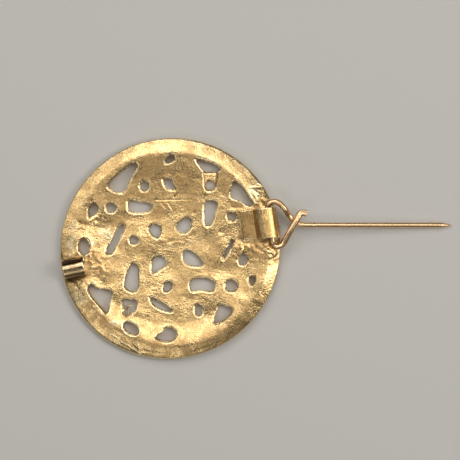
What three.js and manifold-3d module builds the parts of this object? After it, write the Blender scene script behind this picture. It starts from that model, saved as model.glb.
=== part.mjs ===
// Openwork disc brooch with a swinging pin, lying on its display face.
// Units are millimetres and +Z is up. The origin is the disc's centre in the plane of the display face.
// Separate pieces: the pierced disc, the rolled hinge strap, the catch and the pin.

import * as THREE from "three";
import * as BufferGeometryUtils from "three/addons/utils/BufferGeometryUtils.js";
import Module from "manifold-3d";

const wasm = await Module();
wasm.setup();

// ---------------------------------------------------------------- driving dimensions

const DISC_RADIUS = 19.97;
const OVAL_STRETCH = 0.0135; // the disc is a little longer one way
const OVAL_TURN = THREE.MathUtils.degToRad(45);
const DISC_SEGMENTS = 80;
const FACE_RADIUS = 19.2; // flat display face, inside its rounded edge
const EDGE_START = [19.72, 0.2]; // the rounding of the display side; each pair is a radius and a height
const EDGE_LOW = 0.6; // the edge is upright between these two heights
const EDGE_HIGH = 1.45;
const SHOULDER = [19.4, 1.86]; // the back's worn outer corner
const RIM_HEIGHT = 2.35; // crest of the raised rim on the back
const RIM_CREST = [17.6, RIM_HEIGHT];
const CREST_EASE = 0.6; // the crest is rounded this far to each side
const CREST_DROP = 0.05;
const SLOPE_MIDDLE = [15.4, 2.0]; // the rim's long slope down to the dish
const SLOPE_FOOT = [13.2, 1.66];
const DISH_MIDDLE = [7.5, 1.36];
const FIELD_HEIGHT = 1.22; // back of the field at the centre
const OUTLINE_STEP = 0.5; // length of one straight side of a piercing's outline
const CUT_BELOW = -1.0;
const CUT_DEPTH = 5.0;

const SEAT = RIM_HEIGHT; // both fittings sit level with the rim's crest
const PAD_FOOT = 0.5; // the solder pads start inside the disc
const PAD_SLOPE = 0.4;
const PAD_REACH = 19.6; // the solder stops short of the disc's edge

const HINGE_CENTRE = [17.18, 4.02]; // where the pin's turning axis passes over the disc
const HINGE_HEIGHT = 3.25;
const HINGE_TURN = THREE.MathUtils.degToRad(8.7); // the rolled eye leans to the left
const STRAP_GAUGE = 0.33;
const STRAP_CREST = 5.1;
const STRAP_KNEE = -0.6; // from here the tail follows the dish down
const STRAP_TAIL_SEAT = 1.75;
const STRAP_TAIL_BEVEL = 0.2; // its end is filed at a slant
const STRAP_FOLD_HEIGHT = 2.55;
const STRAP_LOW_CUT = 1.87; // where the strip's two cut edges pass the hinge, measured along Y
const STRAP_HIGH_CUT = 7.32;
const STRAP_LOW_RISE = 0.05; // and how much each rises to the right
const STRAP_HIGH_RISE = 0.125;
const STRAP_BLANK = 12; // length of the uncut roll
const STRAP_TAIL = -4.4; // end of the flat tail, in the hinge's own turned frame
const STRAP_PAD_LOW = -2.9;
const STRAP_PAD_HIGH = 3.9;
const STRAP_PAD_TOE = 1.9; // the solder reaches this far under the roll
const STRAP_PAD_BEYOND = 0.5; // and this far past the tail, deep in the disc
const STRAP_PAD_DRAFT = 0.2;

const CATCH_CENTRE = [-17.25, -3.48];
const CATCH_TURN = THREE.MathUtils.degToRad(12.5);
const CATCH_LENGTH = 3.8;
const CATCH_GAUGE = 0.36;
const CATCH_PAD = { left: -1.7, right: 1.9, low: 0.85, high: 1.5 }; // under its soldered side only

const WIRE_RADIUS = 0.53;
const WIRE_SIDES = 14;
const STEPS_PER_POINT = 4;

const FREE_LIFT = 0.2; // the wire's free end rides over the shank
const CROSSING_DROP = 0.8; // and the shank dips under it
const TOP_LIFT = 0.1;
const LOW_DROP = 0.3; // the lower turn hangs close to the rim
const BEND_X = 23.6;
const BEND_EASES = [24.9, 23.95]; // the straight shank eases into its bend past these
const SHANK_START = 26.0;
const SHANK_OVERLAP = 0.4; // the shank starts inside the bent wire's end
const SHANK_EVEN_SHARE = 0.6; // it tapers only past this share of its length
const SHANK_Y = 4.22;
const SHANK_RADIUS = 0.52;
const SHANK_END_RADIUS = 0.49;
const TIP_X = 50.9;
const TIP_HEIGHT = 0.5; // the point rests on the table
const POINT_LENGTH = 1.9;
const POINT_SHOULDER = [0.3, 1.14]; // a radius and its distance from the tip
const POINT_END = [0.1, 0.08];

// ---------------------------------------------------------------- piercings
// Each row is one piercing: its kind, where its middle is, its size and how far its long side is turned.
// A "free" piercing is a smooth closed outline through a few chosen points.

const PIERCINGS = [
  { kind: "free", points: [[-6.3, 15.3], [-6.0, 14.8], [-6.4, 14.0], [-7.7, 11.6], [-8.1, 10.5], [-8.8, 10.1],
    [-10.8, 10.65], [-11.2, 11.2], [-10.9, 11.9], [-8.0, 14.45], [-7.0, 15.25]] },
  { kind: "oval", at: [-4.7, 11.3], long: 1.85, wide: 1.55, turn: 90 },
  { kind: "free", points: [[-0.15, 16.85], [0.5, 16.95], [0.6, 16.35], [0.8, 15.95], [-0.35, 15.4], [-0.85, 15.3],
    [-0.9, 15.65], [-0.6, 16.15]] },
  { kind: "free", points: [[-1.25, 12.5], [-0.35, 12.6], [0.05, 12.55], [0.4, 11.6], [0.8, 10.95], [0.8, 10.55],
    [0.1, 10.7], [-0.75, 10.9], [-1.1, 11.55]] },
  { kind: "free", points: [[-7.6, 8.6], [-5.5, 8.4], [-4.1, 8.25], [-3.4, 7.8], [-3.4, 7.3], [-4.0, 6.65],
    [-5.4, 6.5], [-7.0, 6.55], [-7.6, 6.95], [-7.65, 7.85]] },
  { kind: "oval", at: [-10.7, 7.35], long: 1.85, wide: 1.75, turn: 0 },
  { kind: "free", points: [[-13.85, 8.0], [-13.2, 7.9], [-13.05, 7.3], [-13.2, 6.45], [-13.85, 5.95],
    [-14.65, 5.45], [-14.7, 6.05], [-14.65, 7.0], [-14.4, 7.55]] },
  { kind: "free", points: [[-8.65, 4.55], [-8.4, 4.2], [-8.35, 3.6], [-8.85, 2.45], [-10.15, -0.15],
    [-10.55, -0.85], [-11.0, -1.05], [-11.45, -0.9], [-11.6, -0.3], [-11.4, 0.2], [-10.8, 1.1], [-9.95, 2.9],
    [-9.3, 3.95]] },
  { kind: "oval", at: [-6.6, 1.5], long: 1.5, wide: 1.45, turn: 0 },
  { kind: "free", points: [[-4.0, 3.65], [-3.5, 4.1], [-2.75, 4.4], [-2.1, 4.3], [-1.75, 3.35], [-1.9, 2.5],
    [-2.4, 1.9], [-2.95, 2.15], [-3.55, 2.9]] },
  { kind: "oval", at: [-15.55, 0.28], long: 2.95, wide: 1.9, turn: 92 },
  { kind: "free", points: [[4.6, 16.05], [5.2, 16.05], [6.8, 15.55], [8.25, 15.0], [8.9, 14.4], [8.6, 13.9],
    [7.35, 13.85], [6.15, 13.9], [5.4, 14.7], [4.75, 15.65]] },
  { kind: "oval", at: [7.15, 11.4], long: 1.75, wide: 1.6, turn: -20 },
  { kind: "free", points: [[11.5, 12.0], [12.05, 11.95], [12.9, 11.0], [14.15, 9.1], [14.75, 8.4], [14.8, 7.9],
    [14.35, 7.65], [13.65, 7.8], [12.75, 8.5], [11.5, 8.95], [10.85, 9.45], [10.8, 10.15], [11.1, 10.8],
    [11.15, 11.6]] },
  { kind: "free", points: [[6.5, 8.45], [7.35, 8.55], [8.25, 8.4], [8.35, 7.85], [7.4, 4.5], [7.05, 4.15],
    [6.45, 4.15], [6.2, 4.8], [6.2, 8.0]] },
  { kind: "free", points: [[3.15, 5.8], [3.5, 5.4], [3.65, 4.25], [3.4, 3.35], [2.35, 2.8], [1.35, 3.2],
    [1.0, 3.95], [1.3, 4.4], [2.25, 5.15]] },
  { kind: "oval", at: [11.05, 5.75], long: 1.65, wide: 1.45, turn: -30 },
  { kind: "slot", at: [10.4, -0.2], long: 3.9, wide: 0.55, turn: 62 },
  { kind: "free", points: [[-6.6, -2.7], [-6.0, -3.2], [-5.85, -5.2], [-5.9, -7.2], [-6.6, -7.9], [-8.2, -6.9],
    [-8.2, -5.8], [-7.5, -3.7]] },
  { kind: "free", points: [[-3.3, -2.3], [-2.5, -1.6], [-1.5, -1.4], [-0.65, -2.6], [-0.75, -3.05], [-1.6, -3.6],
    [-3.1, -4.6], [-3.4, -3.6]] },
  { kind: "free", points: [[-14.3, -6.5], [-12.7, -7.4], [-10.7, -7.7], [-10.8, -9.2], [-11.5, -11.7],
    [-12.3, -10.7], [-14.0, -8.8], [-14.8, -7.3]] },
  { kind: "free", points: [[-8.35, -9.25], [-7.5, -9.2], [-7.0, -9.5], [-6.45, -9.2], [-6.15, -9.8],
    [-6.35, -11.1], [-6.95, -11.6], [-7.75, -12.15], [-8.5, -11.45], [-8.25, -11.05], [-8.6, -10.6],
    [-8.65, -9.85]] },
  { kind: "free", points: [[-3.75, -8.85], [-3.2, -8.9], [-2.1, -9.5], [-0.75, -10.3], [-0.15, -10.85],
    [0.4, -11.0], [0.4, -11.35], [-0.3, -11.4], [-2.0, -10.85], [-2.85, -10.3], [-3.5, -9.55]] },
  { kind: "drop", at: [-0.5, -6.9], long: 2.0, wide: 1.4, turn: 60 },
  { kind: "oval", at: [-7.1, -14.4], long: 3.0, wide: 1.85, turn: -37 },
  { kind: "free", points: [[-2.6, -15.9], [-1.7, -15.3], [-0.9, -14.4], [0.5, -14.4], [1.2, -15.4], [0.4, -16.5],
    [-1.2, -16.7]] },
  { kind: "free", points: [[2.2, -1.4], [2.4, -0.75], [2.95, -0.35], [3.65, -0.5], [4.5, -1.1], [5.95, -2.85],
    [5.85, -3.15], [4.55, -3.15], [3.2, -2.95], [2.5, -2.4]] },
  { kind: "free", points: [[3.6, -6.0], [4.2, -5.6], [7.3, -5.6], [8.0, -6.4], [7.6, -7.7], [5.8, -7.5],
    [4.0, -7.7], [3.5, -7.0]] },
  { kind: "oval", at: [11.0, -6.7], long: 2.15, wide: 2.1, turn: 0 },
  { kind: "free", points: [[14.2, -5.1], [15.15, -5.0], [15.2, -5.8], [14.55, -6.65], [14.2, -5.95]] },
  { kind: "drop", at: [13.15, -1.95], long: 2.3, wide: 1.5, turn: 67 },
  { kind: "oval", at: [5.1, -11.1], long: 2.1, wide: 1.4, turn: 90 },
  { kind: "free", points: [[8.9, -10.1], [11.2, -11.0], [11.1, -11.45], [10.0, -12.55], [9.0, -13.2],
    [8.0, -13.6], [7.75, -13.45], [8.0, -12.35], [8.5, -10.95]] },
];

// The triangle and the round hole near the top open into one shallow pocket, crossed low down by a bar.
const POCKET_POINTS = [[6.35, 10.75], [6.15, 12.4], [6.1, 14.3], [8.3, 14.2], [8.2, 12.4], [7.95, 10.8], [7.1, 10.4]];
const POCKET_FLOOR = 0.8;

// ---------------------------------------------------------------- helpers

/** Turns a closed three.js geometry into a manifold solid. */
function toSolid(geometry) {
  const bare = geometry.clone();
  bare.deleteAttribute("normal");
  bare.deleteAttribute("uv");
  const merged = BufferGeometryUtils.mergeVertices(bare, 1e-5);
  const corners = merged.index.array;
  const triangles = [];
  for (let i = 0; i < corners.length; i += 3) {
    const [a, b, c] = [corners[i], corners[i + 1], corners[i + 2]];
    if (a !== b && b !== c && c !== a) {
      triangles.push(a, b, c);
    }
  }
  return new wasm.Manifold(new wasm.Mesh({
    numProp: 3,
    vertProperties: new Float32Array(merged.attributes.position.array),
    triVerts: new Uint32Array(triangles),
  }));
}

/** Turns a manifold solid back into a three.js geometry. */
function toGeometry(solid) {
  const mesh = solid.getMesh();
  const geometry = new THREE.BufferGeometry();
  geometry.setAttribute("position", new THREE.BufferAttribute(Float32Array.from(mesh.vertProperties), 3));
  geometry.setIndex(new THREE.BufferAttribute(Uint32Array.from(mesh.triVerts), 1));
  geometry.computeVertexNormals();
  return geometry;
}

/** Extrudes a flat shape straight up from one height to another. */
function upright(shape, low, high) {
  const geometry = new THREE.ExtrudeGeometry(shape, { depth: high - low, bevelEnabled: false });
  return geometry.translate(0, 0, low);
}

/** Makes the point that lies at a distance along and across a turned outline. */
function turnedPoint(row, along, across) {
  const angle = THREE.MathUtils.degToRad(row.turn);
  return new THREE.Vector2(
    row.at[0] + along * Math.cos(angle) - across * Math.sin(angle),
    row.at[1] + along * Math.sin(angle) + across * Math.cos(angle),
  );
}

/** Places the points of one turned outline given as a function of the angle around it. */
function aroundOutline(row, pointAt) {
  const count = Math.max(12, Math.round((Math.PI * (row.long + row.wide)) / 2 / OUTLINE_STEP));
  const points = [];
  for (let i = 0; i < count; i++) {
    const [along, across] = pointAt((2 * Math.PI * i) / count);
    points.push(turnedPoint(row, along, across));
  }
  return points;
}

/** An oval outline. */
function ovalOutline(row) {
  return aroundOutline(row, (angle) => [(row.long / 2) * Math.cos(angle), (row.wide / 2) * Math.sin(angle)]);
}

/** A drop outline, narrowing towards the way it is turned. */
function dropOutline(row) {
  return aroundOutline(row, (angle) => {
    const along = Math.cos(angle);
    const narrowing = 1 - 0.42 * Math.max(along, 0) ** 1.5;
    return [(row.long / 2) * along, (row.wide / 2) * Math.sin(angle) * narrowing];
  });
}

/** A slot outline with round ends. */
function slotOutline(row) {
  const radius = row.wide / 2;
  const reach = row.long / 2 - radius;
  return aroundOutline(row, (angle) => {
    const along = Math.cos(angle);
    return [reach * Math.sign(along) * Math.min(1, 3 * Math.abs(along)) + radius * along, radius * Math.sin(angle)];
  });
}

/** A smooth closed outline through chosen points. */
function freeOutline(row) {
  const loop = new THREE.CatmullRomCurve3(row.points.map(([x, y]) => new THREE.Vector3(x, y, 0)), true);
  const count = Math.max(12, Math.round(loop.getLength() / OUTLINE_STEP));
  const points = [];
  for (let i = 0; i < count; i++) {
    const point = loop.getPointAt(i / count);
    points.push(new THREE.Vector2(point.x, point.y));
  }
  return points;
}

const OUTLINES = {
  oval: ovalOutline,
  drop: dropOutline,
  slot: slotOutline,
  free: freeOutline,
};

// ---------------------------------------------------------------- disc

/** The plain disc: flat display face below, rounded rim and shallow dish above. */
function plainDisc() {
  const [crestRadius, crestHeight] = RIM_CREST;
  const easedHeight = crestHeight - CREST_DROP;
  const profile = [
    [0, 0],
    [FACE_RADIUS, 0],
    EDGE_START,
    [DISC_RADIUS, EDGE_LOW],
    [DISC_RADIUS, EDGE_HIGH],
    SHOULDER,
    [crestRadius + CREST_EASE, easedHeight],
    RIM_CREST,
    [crestRadius - CREST_EASE, easedHeight],
    SLOPE_MIDDLE,
    SLOPE_FOOT,
    DISH_MIDDLE,
    [0, FIELD_HEIGHT],
  ];
  const geometry = new THREE.LatheGeometry(profile.map(([r, z]) => new THREE.Vector2(r, z)), DISC_SEGMENTS);
  geometry.rotateX(Math.PI / 2);
  const places = geometry.attributes.position;
  for (let i = 0; i < places.count; i++) {
    const angle = Math.atan2(places.getY(i), places.getX(i));
    const stretch = 1 + OVAL_STRETCH * Math.cos(2 * (angle - OVAL_TURN));
    places.setXY(i, places.getX(i) * stretch, places.getY(i) * stretch);
  }
  return toSolid(geometry);
}

/** Extrudes a pad's shape with sloping ends that stay inside the shape's own outline. */
function slopedPad(shape, depth) {
  return new THREE.ExtrudeGeometry(shape, {
    depth: depth - 2 * PAD_SLOPE,
    bevelEnabled: true,
    bevelSegments: 1,
    bevelSize: PAD_SLOPE,
    bevelOffset: -PAD_SLOPE,
    bevelThickness: PAD_SLOPE,
  });
}

/** Turns and places a fitting's pad, and keeps it inside the disc's edge. */
function placedPad(geometry, centre, turn) {
  geometry.rotateZ(turn);
  geometry.translate(centre[0], centre[1], 0);
  const within = new THREE.CylinderGeometry(PAD_REACH, PAD_REACH, 2 * SEAT + 1, DISC_SEGMENTS);
  return toSolid(geometry).intersect(toSolid(within.rotateX(Math.PI / 2)));
}

/** The solder under the hinge strap, level at the rim and falling with the dish. */
function strapPad() {
  const shape = new THREE.Shape();
  shape.moveTo(STRAP_TAIL - STRAP_PAD_BEYOND, PAD_FOOT);
  shape.lineTo(STRAP_PAD_TOE, PAD_FOOT);
  shape.lineTo(STRAP_PAD_TOE - STRAP_PAD_DRAFT, SEAT);
  shape.lineTo(STRAP_KNEE, SEAT);
  shape.lineTo(STRAP_TAIL, STRAP_TAIL_SEAT);
  shape.closePath();
  const geometry = slopedPad(shape, STRAP_PAD_HIGH - STRAP_PAD_LOW);
  geometry.translate(0, 0, PAD_SLOPE - STRAP_PAD_HIGH);
  geometry.rotateX(Math.PI / 2);
  return placedPad(geometry, HINGE_CENTRE, HINGE_TURN);
}

/** The solder under the catch's closed side. */
function catchPad() {
  const { left, right, low, high } = CATCH_PAD;
  const shape = new THREE.Shape();
  shape.moveTo(left - PAD_SLOPE, low - PAD_SLOPE);
  shape.lineTo(right + PAD_SLOPE, low - PAD_SLOPE);
  shape.lineTo(right + PAD_SLOPE, high + PAD_SLOPE);
  shape.lineTo(left - PAD_SLOPE, high + PAD_SLOPE);
  shape.closePath();
  const geometry = slopedPad(shape, SEAT - PAD_FOOT);
  return placedPad(geometry.translate(0, 0, PAD_FOOT + PAD_SLOPE), CATCH_CENTRE, CATCH_TURN);
}

/** The cutter of one piercing, right through the disc. */
function piercingCutter(row) {
  const shape = new THREE.Shape(OUTLINES[row.kind](row));
  return toSolid(upright(shape, CUT_BELOW, CUT_BELOW + CUT_DEPTH));
}

/** The disc with its solder pads and all its piercings. */
function piercedDisc() {
  let disc = plainDisc().add(strapPad()).add(catchPad());
  for (const row of PIERCINGS) {
    disc = disc.subtract(piercingCutter(row));
  }
  const pocket = new THREE.Shape(freeOutline({ points: POCKET_POINTS }));
  return disc.subtract(toSolid(upright(pocket, POCKET_FLOOR, POCKET_FLOOR + CUT_DEPTH)));
}

// ---------------------------------------------------------------- hinge strap

/** The strap's outside: a flat tail that rises, rolls over the pin and runs back underneath. */
function strapOutside() {
  const shape = new THREE.Shape();
  shape.moveTo(STRAP_TAIL, STRAP_TAIL_SEAT);
  shape.lineTo(STRAP_KNEE, SEAT);
  shape.lineTo(1.2, SEAT);
  shape.bezierCurveTo(1.9, SEAT, 2.3, 2.75, 2.3, 3.4);
  shape.bezierCurveTo(2.3, 4.5, 1.45, STRAP_CREST, 0.45, STRAP_CREST);
  shape.bezierCurveTo(-0.2, STRAP_CREST, -0.5, 5.05, -0.75, 4.98);
  shape.bezierCurveTo(-1.35, 4.8, -1.7, 4.4, -1.76, 3.35);
  shape.lineTo(-1.8, STRAP_FOLD_HEIGHT);
  shape.lineTo(STRAP_TAIL + STRAP_TAIL_BEVEL, STRAP_TAIL_SEAT + STRAP_GAUGE);
  shape.closePath();
  return shape;
}

/** The open eye inside the rolled strap. */
function strapEye() {
  const floor = SEAT + STRAP_GAUGE;
  const ceiling = STRAP_CREST - STRAP_GAUGE;
  const hole = new THREE.Path();
  hole.moveTo(-1.4, floor);
  hole.bezierCurveTo(-1.49, 2.95, -1.5, 3.3, -1.43, 3.5);
  hole.bezierCurveTo(-1.35, 4.25, -1.05, 4.55, -0.65, 4.66);
  hole.bezierCurveTo(-0.4, 4.75, -0.1, ceiling, 0.45, ceiling);
  hole.bezierCurveTo(1.3, ceiling, 1.97, 4.25, 1.97, 3.4);
  hole.bezierCurveTo(1.97, 2.95, 1.7, floor, 1.15, floor);
  hole.closePath();
  return hole;
}

/** The block between the strap's two cut edges. */
function strapTrim() {
  const cutPoint = (height, rise, along) => new THREE.Vector2(along, height + rise * along);
  const shape = new THREE.Shape([
    cutPoint(STRAP_LOW_CUT, STRAP_LOW_RISE, -STRAP_BLANK),
    cutPoint(STRAP_LOW_CUT, STRAP_LOW_RISE, STRAP_BLANK),
    cutPoint(STRAP_HIGH_CUT, STRAP_HIGH_RISE, STRAP_BLANK),
    cutPoint(STRAP_HIGH_CUT, STRAP_HIGH_RISE, -STRAP_BLANK),
  ]);
  const block = upright(shape, 0, STRAP_CREST + 1);
  return toSolid(block.translate(HINGE_CENTRE[0], 0, 0));
}

/** The rolled strap that holds the pin's wire. */
function hingeStrap() {
  const section = strapOutside();
  section.holes.push(strapEye());
  const geometry = new THREE.ExtrudeGeometry(section, { depth: STRAP_BLANK, bevelEnabled: false, curveSegments: 8 });
  geometry.translate(0, 0, -STRAP_BLANK / 2);
  geometry.rotateX(Math.PI / 2);
  geometry.rotateZ(HINGE_TURN);
  geometry.translate(HINGE_CENTRE[0], HINGE_CENTRE[1], 0);
  return toSolid(geometry).intersect(strapTrim());
}

// ---------------------------------------------------------------- catch

/** The catch: a strip bent into a half pipe, soldered along one side and open on the other. */
function catchPlate() {
  const shape = new THREE.Shape();
  shape.moveTo(1.62, SEAT);
  shape.bezierCurveTo(1.72, 3.5, 1.15, 4.45, 0.1, 4.5);
  shape.bezierCurveTo(-0.8, 4.5, -1.45, 4.2, -1.62, 3.6);
  shape.lineTo(-1.32, 3.45);
  shape.bezierCurveTo(-1.1, 3.95, -0.7, 4.14, 0.05, 4.5 - CATCH_GAUGE);
  shape.bezierCurveTo(0.8, 4.1, 1.3, 3.4, 1.22, 2.95);
  shape.lineTo(0.7, SEAT);
  shape.closePath();
  const geometry = new THREE.ExtrudeGeometry(shape, { depth: CATCH_LENGTH, bevelEnabled: false, curveSegments: 8 });
  geometry.translate(0, 0, -CATCH_LENGTH / 2);
  geometry.rotateX(Math.PI / 2);
  geometry.rotateZ(Math.PI / 2);
  geometry.rotateZ(CATCH_TURN);
  return toSolid(geometry.translate(CATCH_CENTRE[0], CATCH_CENTRE[1], 0));
}

// ---------------------------------------------------------------- pin

/** A point on the middle line of the straight shank, which runs down to the table. */
function shankPoint(x) {
  const high = HINGE_HEIGHT - CROSSING_DROP;
  const height = THREE.MathUtils.mapLinear(x, BEND_X, TIP_X, high, TIP_HEIGHT);
  return new THREE.Vector3(x, SHANK_Y, height);
}

/** A path through chosen points that spends the same number of steps between each pair. */
class SteppedPath extends THREE.CatmullRomCurve3 {
  getPointAt(u, target) {
    return this.getPoint(u, target);
  }

  getTangentAt(u, target) {
    return this.getTangent(u, target);
  }
}

// The bent wire, from beside the shank, round through the eye and back over itself.
// Each row is x, y and how far the wire is lifted.
const WIRE_ROUTE = [
  [22.85, 4.5, -CROSSING_DROP],
  [22.05, 5.2, -CROSSING_DROP],
  [21.34, 6.0, -0.6],
  [20.55, 7.12, 0],
  [19.8, 7.98, TOP_LIFT],
  [19.0, 8.4, TOP_LIFT],
  [18.2, 8.36, TOP_LIFT],
  [17.66, 8.0, TOP_LIFT],
  [17.47, 7.4, 0],
  [17.62, 6.4, 0],
  [18.28, 2.1, 0],
  [18.4, 1.2, -0.08],
  [18.62, 0.62, -LOW_DROP],
  [19.25, 0.33, -LOW_DROP],
  [19.98, 0.6, -LOW_DROP],
  [20.55, 1.35, -0.2],
  [21.42, 2.95, 0.1],
  [22.5, 4.8, FREE_LIFT],
  [22.98, 5.65, FREE_LIFT],
  [23.2, 6.15, FREE_LIFT],
  [23.65, 6.42, FREE_LIFT],
  [24.5, 6.3, FREE_LIFT],
];

/** The bent wire of the pin's loop. */
function wireLoop() {
  const bent = WIRE_ROUTE.map(([x, y, lift]) => new THREE.Vector3(x, y, HINGE_HEIGHT + lift));
  const points = [shankPoint(SHANK_START), ...BEND_EASES.map(shankPoint), ...bent];
  const path = new SteppedPath(points, false, "centripetal");
  const outline = new THREE.Shape();
  outline.absarc(0, 0, WIRE_RADIUS, 0, 2 * Math.PI, false);
  const geometry = new THREE.ExtrudeGeometry(outline, {
    steps: (points.length - 1) * STEPS_PER_POINT,
    extrudePath: path,
    bevelEnabled: false,
    curveSegments: WIRE_SIDES / 2,
  });
  return toSolid(geometry);
}

/** The straight shank, tapering towards its short point. */
function pinShank() {
  const start = shankPoint(SHANK_START - SHANK_OVERLAP);
  const end = shankPoint(TIP_X);
  const length = start.distanceTo(end);
  const [shoulderRadius, shoulderGap] = POINT_SHOULDER;
  const [endRadius, endGap] = POINT_END;
  const profile = [
    [0, 0],
    [SHANK_RADIUS, 0],
    [SHANK_RADIUS, length * SHANK_EVEN_SHARE],
    [SHANK_END_RADIUS, length - POINT_LENGTH],
    [shoulderRadius, length - shoulderGap],
    [endRadius, length - endGap],
    [0, length],
  ];
  const geometry = new THREE.LatheGeometry(profile.map(([r, h]) => new THREE.Vector2(r, h)), WIRE_SIDES);
  const along = end.clone().sub(start).normalize();
  geometry.applyQuaternion(new THREE.Quaternion().setFromUnitVectors(new THREE.Vector3(0, 1, 0), along));
  return toSolid(geometry.translate(start.x, start.y, start.z));
}

/** The pin: one wire, from its point to its cut end. */
function wholePin() {
  return wireLoop().add(pinShank());
}

// ---------------------------------------------------------------- assembly

/** Wraps one solid as a named mesh with its own gold. */
function piece(name, solid, colour, roughness) {
  const material = new THREE.MeshStandardMaterial({ color: colour, roughness, metalness: 1.0 });
  material.name = name;
  const mesh = new THREE.Mesh(toGeometry(solid), material);
  mesh.name = name;
  return mesh;
}

const brooch = new THREE.Group();
brooch.name = "brooch";
brooch.add(
  piece("disc", piercedDisc(), 0xc9a76b, 0.36),
  piece("hinge_strap", hingeStrap(), 0xc99c55, 0.3),
  piece("catch", catchPlate(), 0x9c7a45, 0.34),
  piece("pin", wholePin(), 0xcda277, 0.26),
);

export default brooch;
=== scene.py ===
"""Openwork disc brooch: worked gold surfaces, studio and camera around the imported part.

Sizes in the classes are millimetres in the part's own frame. A mesh is worked in millimetres
and turned into metres once it is finished. Heights are measured from the display face, which
lies down on the floor.
"""

from __future__ import annotations

import logging
import math
from dataclasses import dataclass
from enum import Enum

import bmesh
import bpy
import numpy as np
from mathutils import Matrix, Vector, noise
from mathutils.bvhtree import BVHTree

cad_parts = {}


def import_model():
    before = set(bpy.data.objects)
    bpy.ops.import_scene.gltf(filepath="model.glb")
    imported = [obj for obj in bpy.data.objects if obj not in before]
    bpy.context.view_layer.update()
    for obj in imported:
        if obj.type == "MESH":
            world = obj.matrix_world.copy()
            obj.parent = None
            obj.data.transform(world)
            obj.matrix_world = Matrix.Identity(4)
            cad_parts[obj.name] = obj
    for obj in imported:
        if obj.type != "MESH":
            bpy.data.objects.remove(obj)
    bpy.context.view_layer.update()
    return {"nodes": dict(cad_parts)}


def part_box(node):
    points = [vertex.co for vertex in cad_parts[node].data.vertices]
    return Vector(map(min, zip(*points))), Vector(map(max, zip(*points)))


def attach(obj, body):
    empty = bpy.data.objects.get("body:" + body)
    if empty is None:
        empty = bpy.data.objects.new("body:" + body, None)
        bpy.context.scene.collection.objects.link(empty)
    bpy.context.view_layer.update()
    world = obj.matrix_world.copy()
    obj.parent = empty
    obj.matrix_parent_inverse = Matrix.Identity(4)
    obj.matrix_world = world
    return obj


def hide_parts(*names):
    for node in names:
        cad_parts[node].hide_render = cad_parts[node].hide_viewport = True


LOG = logging.getLogger("brooch")
MM = 0.001

Pair = tuple[float, float]
Triple = tuple[float, float, float]
Colour = tuple[float, float, float]


# ---------------------------------------------------------------- numbers over many points


def smooth_step(values: np.ndarray, low: float, high: float) -> np.ndarray:
    """Rises smoothly from 0 at low to 1 at high, or falls where low is the larger.

    Args:
        values: The numbers to grade.
        low: Where the result is 0.
        high: Where the result is 1.

    Returns:
        A grade from 0 to 1 for each value.
    """
    share = np.clip((values - low) / (high - low), 0.0, 1.0)
    return share * share * (3.0 - 2.0 * share)


def field_noise(points: np.ndarray, size: float, seed: float, octaves: int = 1) -> np.ndarray:
    """Gives a smooth random field, about -1 to 1.

    Args:
        points: Places in millimetres, one row each.
        size: Size of one swell in millimetres.
        seed: Shifts the field, so that two fields differ.
        octaves: How many times finer detail is added, each at half the size and strength.

    Returns:
        One number for each point.
    """
    total = np.zeros(len(points))
    for octave in range(octaves):
        places = points * (2.0**octave / size) + seed * (octave + 1.7)
        values = [noise.noise(place) for place in places.tolist()]
        total += np.array(values) * 0.5**octave
    return total


def segment_distance(points: np.ndarray, start: Pair, end: Pair) -> tuple[np.ndarray, np.ndarray]:
    """Measures how far points lie from a straight segment, seen from above.

    Args:
        points: Places in millimetres; only x and y are used.
        start: One end of the segment.
        end: Its other end.

    Returns:
        The distance of each point, and how far along the segment its nearest place is, 0 to 1.
    """
    origin = np.array(start)
    along = np.array(end) - origin
    offset = points[:, :2] - origin
    share = np.clip(offset @ along / (along @ along), 0.0, 1.0)
    return np.linalg.norm(offset - share[:, None] * along, axis=1), share


# ---------------------------------------------------------------- a mesh being worked


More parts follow.
